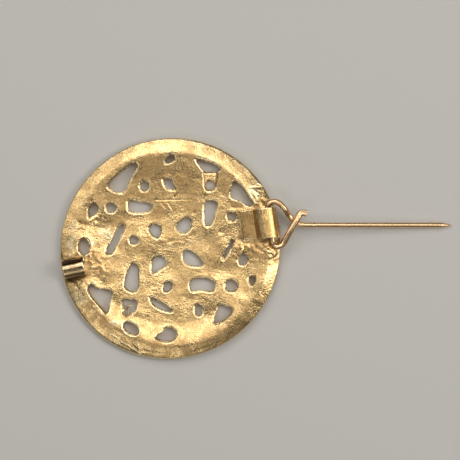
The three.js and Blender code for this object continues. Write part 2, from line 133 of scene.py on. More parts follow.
class Surface:
    """A closed mesh being worked, with its points in millimetres."""

    def __init__(self, mesh: bpy.types.Mesh) -> None:
        """Takes over a mesh whose coordinates are millimetres.

        Args:
            mesh: The mesh, which this object owns from here on.
        """
        self.mesh = mesh
        self.points = np.empty(len(mesh.vertices) * 3, np.float32)
        mesh.vertices.foreach_get("co", self.points)
        self.points = self.points.reshape(-1, 3).astype(float)
        edges = np.empty(len(mesh.edges) * 2, np.int32)
        mesh.edges.foreach_get("vertices", edges)
        self.edges = edges.reshape(-1, 2)
        self.degree = np.maximum(np.bincount(self.edges.ravel(), minlength=len(self.points)), 1)

    def write(self) -> None:
        """Puts the worked points back into the mesh."""
        self.mesh.vertices.foreach_set("co", self.points.astype(np.float32).ravel())
        self.mesh.update()

    def normals(self) -> np.ndarray:
        """Works out which way the surface faces.

        Returns:
            The outward direction at each point, one row each.
        """
        self.write()
        found = np.empty(len(self.points) * 3, np.float32)
        self.mesh.vertex_normals.foreach_get("vector", found)
        return found.reshape(-1, 3).astype(float)

    def around(self, values: np.ndarray) -> np.ndarray:
        """Averages a value over each point's neighbours.

        Args:
            values: One number for each point.

        Returns:
            The average over the points joined to it by an edge.
        """
        first, second = self.edges.T
        count = len(self.points)
        total = np.bincount(first, weights=values[second], minlength=count)
        total += np.bincount(second, weights=values[first], minlength=count)
        return total / self.degree

    def relax(self, rounds: int, amount: np.ndarray | float = 1.0) -> None:
        """Smooths the mesh without shrinking it.

        Args:
            rounds: How many times it is smoothed.
            amount: How much each point takes part, 0 to 1.
        """
        for _ in range(rounds):
            for pull in (0.5, -0.52):
                steps = np.stack([self.around(self.points[:, k]) for k in range(3)], axis=1)
                self.points += (steps - self.points) * pull * np.reshape(amount, (-1, 1))

    def hollowness(self, rounds: int = 2) -> np.ndarray:
        """Measures how hollow the surface is at each point.

        Args:
            rounds: How many times the measure is evened out.

        Returns:
            One over the radius of the bend in millimetres: positive in a hollow, negative on an edge.
        """
        normals = self.normals()
        steps = np.stack([self.around(self.points[:, k]) for k in range(3)], axis=1)
        first, second = self.edges.T
        squares = np.sum((self.points[first] - self.points[second]) ** 2, axis=1)
        around = np.bincount(first, weights=squares, minlength=len(self.points))
        around += np.bincount(second, weights=squares, minlength=len(self.points))
        rise = np.einsum("ij,ij->i", steps - self.points, normals)
        bend = 2.0 * rise * self.degree / np.maximum(around, 1e-9)
        for _ in range(rounds):
            bend = 0.5 * bend + 0.5 * self.around(bend)
        return bend

    def refined(self, wanted: np.ndarray) -> Surface:
        """Splits each edge between two wanted points, so that fine forms keep their sharpness.

        Args:
            wanted: True for each point in a place that needs finer faces.

        Returns:
            The finer surface, which takes this one's place.
        """
        self.write()
        work = bmesh.new()
        work.from_mesh(self.mesh)
        edges = [edge for edge in work.edges if wanted[edge.verts[0].index] and wanted[edge.verts[1].index]]
        bmesh.ops.subdivide_edges(work, edges=edges, cuts=1, use_grid_fill=True)
        mesh = bpy.data.meshes.new("work")
        work.to_mesh(mesh)
        work.free()
        return Surface(mesh)

    def store(self, name: str, values: np.ndarray) -> None:
        """Keeps one number for each point as a named attribute that a material can read.

        Args:
            name: The attribute's name.
            values: One number for each point.
        """
        attribute = self.mesh.attributes.new(name, "FLOAT", "POINT")
        attribute.data.foreach_set("value", values.astype(np.float32))

    def finish(self, name: str, material: bpy.types.Material) -> bpy.types.Object:
        """Turns the worked mesh into a smooth shaded object in metres.

        Args:
            name: The object's name.
            material: Its finish.

        Returns:
            The object, at the origin and in the scene.
        """
        self.write()
        self.mesh.transform(Matrix.Scale(MM, 4))
        self.mesh.polygons.foreach_set("use_smooth", [True] * len(self.mesh.polygons))
        self.mesh.materials.clear()
        self.mesh.materials.append(material)
        self.mesh.name = name
        piece = bpy.data.objects.new(name, self.mesh)
        bpy.context.scene.collection.objects.link(piece)
        return piece


def merged_shape(node: bpy.types.Object) -> tuple[np.ndarray, list[list[int]]]:
    """Copies a CAD node's mesh as joined-up points and faces, in millimetres.

    Args:
        node: The CAD node, which is left as it is.

    Returns:
        The points, one row each, and the corners of each face.
    """
    copy = bmesh.new()
    copy.from_mesh(node.data)
    bmesh.ops.remove_doubles(copy, verts=copy.verts, dist=1e-6)
    copy.verts.index_update()
    points = np.array([corner.co for corner in copy.verts], float) / MM
    faces = [[corner.index for corner in face.verts] for face in copy.faces]
    copy.free()
    return points, faces


def evaluated_mesh(worker: bpy.types.Object) -> bpy.types.Mesh:
    """Makes a plain mesh of what an object's modifiers give, and removes the object.

    Args:
        worker: An object that exists only to carry modifiers.

    Returns:
        The finished mesh.
    """
    bpy.context.view_layer.update()
    depsgraph = bpy.context.evaluated_depsgraph_get()
    mesh = bpy.data.meshes.new_from_object(worker.evaluated_get(depsgraph))
    worker.modifiers.clear()
    bpy.data.objects.remove(worker)
    return mesh


def grown_mesh(
    worker: bpy.types.Object, tree: bpy.types.NodeTree, sizes: dict[str, float]
) -> bpy.types.Mesh:
    """Runs a Geometry Nodes tree on an object and gives the result, removing the object.

    Args:
        worker: An object that exists only to carry the tree.
        tree: The Geometry Nodes tree.
        sizes: A value for each of the tree's named inputs.

    Returns:
        The finished mesh.
    """
    modifier = worker.modifiers.new(tree.name, "NODES")
    modifier.node_group = tree
    for item in tree.interface.items_tree:
        if item.in_out == "INPUT" and item.name in sizes:
            modifier[item.identifier] = sizes[item.name]
    return evaluated_mesh(worker)


def voxel_surface(node: bpy.types.Object, voxel: float) -> Surface:
    """Covers a CAD node's form with small even faces, ready to be worked.

    Args:
        node: The CAD node, which is left as it is.
        voxel: Size of one face in millimetres.

    Returns:
        The surface.
    """
    points, faces = merged_shape(node)
    mesh = bpy.data.meshes.new("work")
    mesh.from_pydata(points.tolist(), [], faces)
    worker = bpy.data.objects.new("work", mesh)
    bpy.context.scene.collection.objects.link(worker)
    remesh = worker.modifiers.new("voxels", "REMESH")
    remesh.mode = "VOXEL"
    remesh.voxel_size = voxel
    remesh.adaptivity = 0.0
    return Surface(evaluated_mesh(worker))


# ---------------------------------------------------------------- marks on the gold


@dataclass(frozen=True)
class Stroke:
    """A narrow straight cut, scratch or crack.

    Attributes:
        start: One end, in millimetres.
        end: The other end.
        width: Half the width of the cut.
        depth: How deep it is at its middle; a negative depth raises a ridge.
    """

    start: Pair
    end: Pair
    width: float
    depth: float

    def height(self, points: np.ndarray) -> np.ndarray:
        """Works out the cut's shape.

        Args:
            points: Places in millimetres; only x and y are used.

        Returns:
            How far the cut moves the surface up at each point.
        """
        distance, share = segment_distance(points, self.start, self.end)
        taper = np.sqrt(np.clip(4.0 * share * (1.0 - share), 0.15, 1.0))
        return -self.depth * taper * np.exp(-((distance / self.width) ** 2))


@dataclass(frozen=True)
class Swell:
    """A broad hollow or swelling, longer one way than the other.

    Attributes:
        centre: Its middle, in millimetres.
        reach: Its half length and half width.
        turn: How far its long side is turned, in degrees.
        rise: How far it stands up; a negative rise is a hollow.
    """

    centre: Pair
    reach: Pair
    turn: float
    rise: float

    def grade(self, points: np.ndarray) -> np.ndarray:
        """Grades how far inside the swell each point lies.

        Args:
            points: Places in millimetres; only x and y are used.

        Returns:
            1 at the middle of the swell, falling to 0 around it.
        """
        angle = math.radians(self.turn)
        x, y = (points[:, :2] - np.array(self.centre)).T
        along = (x * math.cos(angle) + y * math.sin(angle)) / self.reach[0]
        across = (-x * math.sin(angle) + y * math.cos(angle)) / self.reach[1]
        return np.exp(-(along**2) - across**2)

    def height(self, points: np.ndarray) -> np.ndarray:
        """Gives how far the swell moves the surface up at each point."""
        return self.rise * self.grade(points)


# ---------------------------------------------------------------- finishes


class NodeSheet:
    """Builds one node tree with few words."""

    def __init__(self, tree: bpy.types.NodeTree) -> None:
        """Starts on a tree.

        Args:
            tree: The node tree to fill.
        """
        self.tree = tree

    def node(self, kind: str, **settings: object) -> bpy.types.Node:
        """Adds a node.

        Args:
            kind: Blender's name of the node type.
            **settings: The node's own settings by name.

        Returns:
            The node.
        """
        made = self.tree.nodes.new(kind)
        for name, value in settings.items():
            setattr(made, name, value)
        return made

    def feed(self, made: bpy.types.Node, **values: object) -> bpy.types.Node:
        """Sets or links a node's inputs, each named with _ for a space.

        Args:
            made: The node.
            **values: A value or another node's output socket for each input.

        Returns:
            The same node.
        """
        for name, value in values.items():
            socket = made.inputs[name.replace("_", " ")]
            if isinstance(value, bpy.types.NodeSocket):
                self.tree.links.new(value, socket)
            else:
                socket.default_value = value
        return made

    def math(self, operation: str, first: object, second: object = 0.0) -> bpy.types.NodeSocket:
        """Adds a Math node and gives its result.

        Args:
            operation: Blender's name of the operation.
            first: A number or a socket.
            second: A number or a socket.

        Returns:
            The result's socket.
        """
        made = self.node("ShaderNodeMath", operation=operation)
        for socket, value in zip(made.inputs, (first, second)):
            if isinstance(value, bpy.types.NodeSocket):
                self.tree.links.new(value, socket)
            else:
                socket.default_value = value
        return made.outputs[0]

    def grade(self, value: bpy.types.NodeSocket, low: float, high: float) -> bpy.types.NodeSocket:
        """Grades a value smoothly to 0 at low and 1 at high.

        Args:
            value: The value's socket.
            low: Where the result is 0.
            high: Where the result is 1.

        Returns:
            The result's socket.
        """
        made = self.node("ShaderNodeMapRange", interpolation_type="SMOOTHSTEP")
        self.tree.links.new(value, made.inputs["Value"])
        made.inputs["From Min"].default_value = low
        made.inputs["From Max"].default_value = high
        return made.outputs["Result"]

    def mix(self, share: object, first: object, second: object) -> bpy.types.NodeSocket:
        """Mixes two colours.

        Args:
            share: How much of the second, a number or a socket.
            first: A colour or a socket.
            second: A colour or a socket.

        Returns:
            The mixed colour's socket.
        """
        made = self.node("ShaderNodeMix", data_type="RGBA")
        for index, value in ((0, share), (6, first), (7, second)):
            if isinstance(value, bpy.types.NodeSocket):
                self.tree.links.new(value, made.inputs[index])
            else:
                made.inputs[index].default_value = (*value, 1.0) if index else value
        return made.outputs[2]


def new_group(
    name: str, inputs: dict[str, str], outputs: dict[str, str]
) -> tuple[NodeSheet, bpy.types.Node, bpy.types.Node]:
    """Starts a shader node group with named sockets.

    Args:
        name: The group's name.
        inputs: Each input's name and socket type.
        outputs: Each output's name and socket type.

    Returns:
        The group's NodeSheet, its input node and its output node.
    """
    tree = bpy.data.node_groups.new(name, "ShaderNodeTree")
    for side, rows in (("INPUT", inputs), ("OUTPUT", outputs)):
        for label, kind in rows.items():
            tree.interface.new_socket(name=label, in_out=side, socket_type=kind)
    sheet = NodeSheet(tree)
    return sheet, sheet.node("NodeGroupInput"), sheet.node("NodeGroupOutput")


FLOAT = "NodeSocketFloat"
VECTOR = "NodeSocketVector"
COLOUR = "NodeSocketColor"


class GoldGroups:
    """The shader node groups that every gold finish shares, each built once."""

    def __init__(self) -> None:
        """Builds the groups."""
        self.grain = self._grain()
        self.scratches = self._scratches()
        # The wear group also paints highlights, glints, shade and shadow into the colour.
        self.wear = self._wear_with_painted_light()

    @staticmethod
    def _grain() -> bpy.types.NodeTree:
        """The uneven skin of cast and hammered gold.

        Returns:
            A group whose Height, Patches and Specks change over the surface.
        """
        sheet, given, out = new_group(
            "worked gold grain",
            {"Place": VECTOR, "Grain": FLOAT, "Patch": FLOAT, "Fine share": FLOAT},
            {"Height": FLOAT, "Patches": FLOAT, "Specks": FLOAT},
        )
        coarse = sheet.feed(
            sheet.node("ShaderNodeTexNoise"),
            Vector=given.outputs["Place"],
            Scale=given.outputs["Grain"],
            Detail=3.0,
            Roughness=0.62,
        )
        finer = sheet.math("MULTIPLY", given.outputs["Grain"], 3.4)
        fine = sheet.feed(
            sheet.node("ShaderNodeTexNoise"),
            Vector=given.outputs["Place"],
            Scale=finer,
            Detail=2.0,
            Roughness=0.55,
        )
        pits = sheet.feed(
            sheet.node("ShaderNodeTexVoronoi", feature="SMOOTH_F1"),
            Vector=given.outputs["Place"],
            Scale=given.outputs["Grain"],
        )
        pitted = sheet.grade(pits.outputs["Distance"], 0.05, 0.45)
        extra = sheet.math("MULTIPLY", fine.outputs[0], given.outputs["Fine share"])
        height = sheet.math("ADD", coarse.outputs[0], extra)
        height = sheet.math("ADD", height, sheet.math("MULTIPLY", pitted, 0.2))
        patches = sheet.feed(
            sheet.node("ShaderNodeTexNoise"),
            Vector=given.outputs["Place"],
            Scale=given.outputs["Patch"],
            Detail=3.0,
            Roughness=0.5,
        )
        specks = sheet.feed(
            sheet.node("ShaderNodeTexNoise"),
            Vector=given.outputs["Place"],
            Scale=sheet.math("MULTIPLY", given.outputs["Grain"], 1.7),
            Detail=2.0,
            Roughness=0.65,
        )
        sheet.feed(out, Height=height, Patches=patches.outputs[0], Specks=specks.outputs[0])
        return sheet.tree

    @staticmethod
    def _scratches() -> bpy.types.NodeTree:
        """Fine lines from filing, wiping and wear, in two crossing directions.

        Returns:
            A group whose Height is low in each scratch.
        """
        sheet, given, out = new_group(
            "fine wear lines",
            {"Place": VECTOR, "Lines": FLOAT, "Turn": FLOAT, "Crossing": FLOAT},
            {"Height": FLOAT},
        )
        heights = []
        for extra_turn, share in ((0.0, 1.0), (1.15, 0.6)):
            turn = sheet.math("ADD", given.outputs["Turn"], extra_turn)
            spin = sheet.feed(sheet.node("ShaderNodeCombineXYZ"), Z=turn)
            turned = sheet.feed(
                sheet.node("ShaderNodeMapping"),
                Vector=given.outputs["Place"],
                Rotation=spin.outputs[0],
            )
            drawn = sheet.feed(
                sheet.node("ShaderNodeMapping"),
                Vector=turned.outputs[0],
                Scale=(0.045, 1.0, 0.3),
            )
            lines = sheet.feed(
                sheet.node("ShaderNodeTexNoise"),
                Vector=drawn.outputs[0],
                Scale=given.outputs["Lines"],
                Detail=2.0,
                Roughness=0.7,
            )
            cut = sheet.grade(lines.outputs[0], 0.36, 0.5)
            if share < 1.0:
                cut = sheet.math("MULTIPLY", cut, given.outputs["Crossing"])
            heights.append(cut)
        sheet.feed(out, Height=sheet.math("ADD", heights[0], heights[1]))
        return sheet.tree

    @staticmethod
    def _wear_with_painted_light() -> bpy.types.NodeTree:
        """Worn bright edges and brown grime in the hollows, with painted highlights, glints, shade and
        shadow.

        Returns:
            A group whose Colour and Roughness change over the surface.
        """
        sheet, given, out = new_group(
            "rubbed and grimed gold",
            {
                "Gold": COLOUR,
                "Rubbed": COLOUR,
                "Grime": COLOUR,
                "Warm": COLOUR,
                "Bend": FLOAT,
                "Solder": FLOAT,
                "Stain": FLOAT,
                "Patches": FLOAT,
                "Specks": FLOAT,
                "Speckle": FLOAT,
                "Grime share": FLOAT,
                "Smooth": FLOAT,
                "Rough": FLOAT,
            },
            {"Colour": COLOUR, "Roughness": FLOAT},
        )
        patch = sheet.grade(given.outputs["Patches"], 0.34, 0.72)
        hollow = sheet.grade(given.outputs["Bend"], 0.25, 1.6)
        # Worn edges and painted highlights both arrive here as a negative bend.
        edge = sheet.grade(given.outputs["Bend"], -0.35, -1.8)
        patchy = sheet.math("MULTIPLY", patch, 0.45)
        soldered = sheet.math("MULTIPLY", given.outputs["Solder"], 0.8)
        colour = sheet.mix(patchy, given.outputs["Gold"], given.outputs["Warm"])
        colour = sheet.mix(soldered, colour, given.outputs["Warm"])
        grime_and_shade_share = sheet.math("MULTIPLY", patch, 0.55)
        grime_and_shade_share = sheet.math("ADD", grime_and_shade_share, hollow)
        grime_and_shade_share = sheet.math("ADD", grime_and_shade_share, sheet.math("MULTIPLY", given.outputs["Solder"], 0.35))
        grime_and_shade_share = sheet.math("MULTIPLY", grime_and_shade_share, given.outputs["Grime share"])
        dark_specks = sheet.grade(given.outputs["Specks"], 0.48, 0.72)
        dark_specks = sheet.math("MULTIPLY", dark_specks, given.outputs["Speckle"])
        grime_and_shade_share = sheet.math("ADD", grime_and_shade_share, dark_specks)
        grime_and_shade_share = sheet.math("ADD", grime_and_shade_share, given.outputs["Stain"])
        grime_and_shade_share = sheet.math("MINIMUM", grime_and_shade_share, 0.92)
        # Painted glints: light specks at random over the surface.
        painted_glints = sheet.grade(given.outputs["Specks"], 0.52, 0.28)
        painted_glints = sheet.math("MULTIPLY", painted_glints, given.outputs["Speckle"])
        colour = sheet.mix(painted_glints, colour, given.outputs["Rubbed"])
        colour = sheet.mix(grime_and_shade_share, colour, given.outputs["Grime"])
        colour = sheet.mix(sheet.math("MULTIPLY", edge, 0.85), colour, given.outputs["Rubbed"])
        # Painted black shadow where the darkening value is strongest.
        painted_black_shadow = sheet.math("MULTIPLY", sheet.grade(given.outputs["Stain"], 0.5, 0.88), 0.85)
        colour = sheet.mix(painted_black_shadow, colour, (0.05, 0.03, 0.015))
        spread = sheet.math("SUBTRACT", given.outputs["Rough"], given.outputs["Smooth"])
        level = sheet.math("ADD", sheet.math("MULTIPLY", patch, 0.7), grime_and_shade_share)
        level = sheet.math("SUBTRACT", level, sheet.math("MULTIPLY", edge, 0.25))
        level = sheet.grade(level, 0.0, 1.0)
        rough = sheet.math("ADD", given.outputs["Smooth"], sheet.math("MULTIPLY", spread, level))
        sheet.feed(out, Colour=colour, Roughness=rough)
        return sheet.tree


@dataclass(frozen=True)
class GoldFinish:
    """One worked gold finish.

    Attributes:
        name: The material's name.
        gold: Its main colour.
        rub_and_sheen: Colour of its worn edges, and of its painted highlights and glints.
        grime: Colour of the dirt in its hollows, and of its painted shade.
        warm: Redder gold of its patches and solder.
        smooth: Roughness on its worn edges and painted highlights.
        rough: Roughness where it is dull.
        grime_share: How much grime it keeps, 0 to 1.
        speckle: How strongly it is speckled, 0 to 1.
        grain_size: Size of its grain in millimetres.
        grain_depth: Depth of its grain in millimetres.
        fine_share: How strong the finest grain is.
        line_size: Width of its wear lines in millimetres.
        line_depth: Depth of its wear lines in millimetres.
        line_turn: Direction of its wear lines in degrees.
        crossing: How strong the lines across them are, 0 to 1.
        patch_size: Size of its tarnished patches in millimetres.
    """

    name: str
    gold: Colour = (0.85, 0.585, 0.265)
    rub_and_sheen: Colour = (1.0, 0.83, 0.50)
    grime: Colour = (0.27, 0.145, 0.05)
    warm: Colour = (0.74, 0.47, 0.19)
    smooth: float = 0.20
    rough: float = 0.36
    grime_share: float = 0.42
    speckle: float = 0.55
    grain_size: float = 0.42
    grain_depth: float = 0.040
    fine_share: float = 0.35
    line_size: float = 0.3
    line_depth: float = 0.005
    line_turn: float = 12.0
    crossing: float = 0.7
    patch_size: float = 2.4

    def material(self, groups: GoldGroups) -> bpy.types.Material:
        """Builds the finish as a material.

        Args:
            groups: The shared node groups.

        Returns:
            The material.
        """
        made = bpy.data.materials.new(self.name)
        made.use_nodes = True
        made.node_tree.nodes.clear()
        sheet = NodeSheet(made.node_tree)
        place = sheet.node("ShaderNodeTexCoord").outputs["Object"]
        grain = sheet.node("ShaderNodeGroup", node_tree=groups.grain)
        sheet.feed(
            grain,
            Place=place,
            Grain=1.0 / (self.grain_size * MM),
            Patch=1.0 / (self.patch_size * MM),
            Fine_share=self.fine_share,
        )
        lines = sheet.node("ShaderNodeGroup", node_tree=groups.scratches)
        sheet.feed(
            lines,
            Place=place,
            Lines=1.0 / (self.line_size * MM),
            Turn=math.radians(self.line_turn),
            Crossing=self.crossing,
        )
        bend = sheet.node("ShaderNodeAttribute", attribute_name="bend")
        solder = sheet.node("ShaderNodeAttribute", attribute_name="solder")
        shade_and_grime = sheet.node("ShaderNodeAttribute", attribute_name="shade_and_grime")
        wear = sheet.node("ShaderNodeGroup", node_tree=groups.wear)
        sheet.feed(
            wear,
            Gold=(*self.gold, 1.0),
            Rubbed=(*self.rub_and_sheen, 1.0),
            Grime=(*self.grime, 1.0),
            Warm=(*self.warm, 1.0),
            Bend=bend.outputs["Fac"],
            Solder=solder.outputs["Fac"],
            Stain=shade_and_grime.outputs["Fac"],
            Patches=grain.outputs["Patches"],
            Specks=grain.outputs["Specks"],
            Speckle=self.speckle,
            Grime_share=self.grime_share,
            Smooth=self.smooth,
            Rough=self.rough,
        )
        skin = sheet.feed(
            sheet.node("ShaderNodeBump"),
            Strength=1.0,
            Distance=self.grain_depth * MM,
            Height=grain.outputs["Height"],
        )
        worn = sheet.feed(
            sheet.node("ShaderNodeBump"),
            Strength=1.0,
            Distance=self.line_depth * MM,
            Height=lines.outputs["Height"],
            Normal=skin.outputs["Normal"],
        )
        gold = sheet.feed(
            sheet.node("ShaderNodeBsdfPrincipled"),
            Metallic=1.0,
            Base_Color=wear.outputs["Colour"],
            Roughness=wear.outputs["Roughness"],
            Normal=worn.outputs["Normal"],
        )
        output = sheet.node("ShaderNodeOutputMaterial")
        sheet.feed(output, Surface=gold.outputs["BSDF"])
        return made


DISC_GOLD = GoldFinish("disc gold")
STRAP_GOLD = GoldFinish(
    "strap gold",
    gold=(0.86, 0.56, 0.23),
    warm=(0.80, 0.49, 0.19),
    smooth=0.24,
    rough=0.36,
    grime_share=0.3,
    speckle=0.15,
    grain_size=1.2,
    grain_depth=0.03,
    fine_share=0.2,
    line_turn=98.0,
    line_depth=0.010,
    crossing=0.2,
)
# The catch's gold is darker and browner than the disc's: a painted dark reflection, the same gold shaded.
CATCH_GOLD = GoldFinish(
    "catch gold",
    gold=(0.56, 0.42, 0.25),
    rub_and_sheen=(0.95, 0.80, 0.56),
    warm=(0.45, 0.31, 0.17),
    smooth=0.16,
    rough=0.26,
    grime_share=0.4,
    speckle=0.15,
    grain_size=1.2,
    grain_depth=0.03,
    fine_share=0.2,
    line_turn=12.5,
    line_depth=0.006,
    crossing=0.2,
)
PIN_GOLD = GoldFinish(
    "pin gold",
    gold=(0.87, 0.61, 0.35),
    rub_and_sheen=(1.0, 0.80, 0.54),
    grime=(0.30, 0.16, 0.08),
    warm=(0.80, 0.51, 0.27),
    smooth=0.24,
    rough=0.31,
    grime_share=0.08,
    speckle=0.03,
    grain_size=1.6,
    grain_depth=0.004,
    fine_share=0.2,
    line_turn=0.0,
    line_depth=0.002,
    crossing=0.2,
)


# ---------------------------------------------------------------- disc


class Face(Enum):
    """The three kinds of surface that the disc has."""

    BACK = 1
    FRONT = 2
    WALL = 3


@dataclass
class PiercedDisc:
    """The openwork disc, seen from its back.

    Attributes:
        voxel: Size of its mesh's faces, in millimetres.
        fine_reach: How far round piercings and cuts the faces are half that size.
        radius: Radius of the disc.
        crest_radius: Where the raised rim is highest.
        crest_height: Height of that crest.
        slope_foot: Radius where the rim's inner slope meets the dish.
        dish_height: Height of the back at the middle of the dish.
        dish_depth: How far the dish falls from its edge to its middle.
        edge_radius: Where the rim's top turns down into the outer edge.
        edge_drop: How far the top has fallen there.
        lip_width: Width of the rounded lip around each piercing.
        lip_drop: How far the lip falls.
        lip_sheen_and_wear: How strongly the lip is made bright, by wear and a painted highlight.
        rim_sheen_and_wear: How strongly the rim is made bright, by wear and a painted highlight that is
            strongest at its top.
        ridge_wear: How strongly scratched-up ridges are worn bright, for each millimetre they stand up.
        burr: Height of the small burr beside the lip.
        swells: Broad hollows and swellings of the hammered back.
        pits: Small pits in the back.
        strokes: Cuts, cracks, ridges and scratches.
        solders: Where solder has flowed.
        painted_highlights: Bright patches of painted highlight where the light is reflected.
        shade_and_grime_marks: Where it is darkened: painted shadow under the fittings, painted shade over the
            upper half, and darker pits.
    """

    voxel: float = 0.203
    fine_reach: float = 0.32
    radius: float = 19.97
    crest_radius: float = 17.6
    crest_height: float = 2.33
    slope_foot: float = 13.2
    dish_height: float = 1.22
    dish_depth: float = 0.43
    edge_radius: float = 19.4
    edge_drop: float = 0.47
    lip_width: float = 0.28
    lip_drop: float = 0.16
    lip_sheen_and_wear: float = 1.0
    rim_sheen_and_wear: float = 0.7
    ridge_wear: float = 16.0
    burr: float = 0.02
    swells: tuple[Swell, ...] = (
        Swell((-11.0, 4.3), (4.2, 1.7), 5.0, -0.13),
        Swell((-10.0, -10.4), (3.2, 1.6), -20.0, -0.10),
        Swell((6.5, -12.2), (4.0, 1.8), 12.0, -0.12),
        Swell((8.5, -4.0), (3.2, 1.5), 0.0, -0.10),
        Swell((0.5, 3.0), (6.0, 3.0), 20.0, 0.06),
        Swell((-2.0, -13.0), (3.0, 1.6), 0.0, -0.08),
        Swell((13.0, 9.6), (1.6, 1.2), 40.0, 0.10),
        Swell((-1.0, 7.5), (10.0, 4.5), 0.0, -0.10),
        Swell((-4.0, -6.5), (3.4, 2.6), 0.0, 0.05),
    )
    pits: tuple[Swell, ...] = (
        Swell((-16.2, 4.6), (0.42, 0.34), 0.0, -0.22),
        Swell((-15.3, 4.3), (0.34, 0.28), 0.0, -0.18),
        Swell((4.3, 6.5), (0.36, 0.26), 30.0, -0.14),
        Swell((9.1, 2.9), (0.30, 0.30), 0.0, -0.14),
        Swell((-13.2, 5.0), (0.26, 0.22), 0.0, -0.08),
        Swell((2.4, -8.6), (0.26, 0.22), 0.0, -0.08),
        Swell((0.1, 1.3), (0.50, 0.20), 20.0, -0.10),
    )
    strokes: tuple[Stroke, ...] = (
        # A plain mark: one long level line with short slanting strokes over and under it.
        Stroke((-3.1, 8.72), (3.8, 8.86), 0.12, 0.06),
        Stroke((-1.6, 8.3), (-0.9, 7.3), 0.13, 0.09),
        Stroke((-0.4, 8.2), (0.3, 7.2), 0.13, 0.09),
        Stroke((0.5, 9.0), (1.1, 9.7), 0.13, 0.09),
        # The crack across the rim above the hinge.
        Stroke((14.2, 10.9), (17.3, 11.1), 0.15, 0.10),
        Stroke((15.6, 11.6), (16.6, 11.0), 0.14, 0.07),
        Stroke((14.2, 10.6), (15.6, 9.0), 0.16, 0.07),
        Stroke((14.8, 10.7), (16.0, 9.8), 0.14, -0.05),
        # Scratches on the lower rim.
        Stroke((-11.25, -15.1), (-8.4, -17.0), 0.2, -0.07),
        Stroke((-8.6, -16.9), (-5.4, -18.9), 0.2, -0.07),
        Stroke((-11.0, -14.8), (-8.2, -16.7), 0.2, 0.04),
        Stroke((-8.2, -16.7), (-5.2, -18.6), 0.2, 0.05),
        Stroke((-7.2, -16.3), (-5.0, -18.8), 0.13, -0.05),
        # File lines below the catch.
        Stroke((-16.1, -5.2), (-13.7, -8.4), 0.15, 0.07),
        Stroke((-17.3, -6.2), (-15.6, -8.6), 0.3, 0.07),
        Stroke((-15.0, -5.4), (-13.2, -7.6), 0.14, 0.04),
    )
    solders: tuple[Swell, ...] = (
        Swell((14.6, -0.3), (3.4, 1.7), -12.0, 0.10),
        Swell((12.8, 6.6), (1.5, 2.0), 0.0, 0.05),
        Swell((18.2, -0.9), (1.4, 1.0), -30.0, 0.06),
        Swell((-13.9, -1.6), (1.9, 1.1), -25.0, 0.07),
        Swell((-13.3, -3.6), (2.2, 1.5), -10.0, 0.04),
        Swell((-16.8, -1.4), (2.2, 0.6), 12.5, 0.05),
        Swell((15.0, 8.2), (2.0, 0.8), 0.0, 0.04),
    )
    # Painted highlights: bright patches where the light is reflected.
    painted_highlights: tuple[Swell, ...] = (
        Swell((-11.6, 2.8), (2.6, 2.0), 10.0, 1.1),
        Swell((-14.2, 1.0), (1.6, 1.0), 0.0, 0.7),
        Swell((5.8, 1.5), (3.0, 1.0), 0.0, 0.6),
        Swell((0.5, 0.2), (4.5, 1.0), 8.0, 0.5),
        Swell((15.0, 10.2), (1.6, 1.2), 40.0, 1.0),
        Swell((14.9, -3.6), (1.5, 1.4), 0.0, 0.7),
        Swell((-9.2, -13.6), (2.6, 1.0), -28.0, 1.0),
        Swell((-12.9, -4.6), (2.0, 1.2), 0.0, 0.6),
        Swell((6.5, -12.6), (3.4, 1.2), 14.0, 0.7),
        Swell((8.2, -3.6), (2.6, 0.9), 0.0, 0.6),
        Swell((-16.2, -8.8), (1.1, 2.0), 28.0, 1.1),
        Swell((-17.9, 1.4), (0.9, 2.4), 0.0, 0.8),
    )
    shade_and_grime_marks: tuple[Swell, ...] = (
        # Painted shadow, laid on as dark grime, under the catch's open side, beside its foot and under the
        # strap's end.
        Swell((-16.9, -5.2), (2.4, 0.75), 12.5, 1.3),
        Swell((-17.6, -1.9), (2.3, 0.35), 12.5, 0.9),
        Swell((-14.7, -2.6), (0.7, 0.45), -25.0, 0.6),
        Swell((16.9, 1.3), (1.6, 0.5), 8.0, 0.75),
        Swell((17.6, 8.3), (0.9, 0.35), 20.0, 0.6),
        Swell((12.9, 1.9), (1.2, 0.3), 0.0, 0.35),
        # Painted shade over the upper half, and darker spots in the pits.
        Swell((-1.0, 12.0), (12.0, 4.2), 0.0, 0.3),
        Swell((-6.0, 7.5), (6.0, 3.0), -20.0, 0.16),
        Swell((-16.2, 4.6), (0.5, 0.45), 0.0, 0.6),
        Swell((-15.3, 4.3), (0.4, 0.35), 0.0, 0.5),
        Swell((4.3, 6.5), (0.4, 0.3), 30.0, 0.5),
        Swell((13.6, -1.9), (1.1, 0.8), 0.0, 0.3),
    )

    def build(self, node: bpy.types.Object, strap: bpy.types.Object, fittings: list[str]) -> Surface:
        """Works the disc's mesh.

        Args:
            node: The CAD disc.
            strap: The CAD strap.
            fittings: The CAD nodes that are soldered to it.

        Returns:
            The worked surface with its attributes.
        """
        walls = self._wall_tree(node)
        surface = voxel_surface(node, self.voxel)
        surface.relax(3)
        surface = surface.refined(self._fine_places(walls, surface))
        surface.relax(1)
        self._true_walls(walls, surface)
        points = surface.points
        normals = surface.normals()
        gap = self._gap(walls, points)
        faces = self._face_kinds(points, normals)
        near_fitting = self._fitting_grade(points, fittings)
        solder = self._solder_grade(points)
        self._shape_back(points, faces[Face.BACK], near_fitting)
        lift = self._back_relief(points, gap, solder, near_fitting)
        lift += self._solder_fillet(points, strap) * (1.0 - 0.6 * near_fitting)
        points[:, 2] += lift * faces[Face.BACK]
        points[:, 2] += self._front_relief(points, gap) * faces[Face.FRONT]
        self._roughen_walls(points, normals, faces[Face.WALL])
        surface.relax(2)
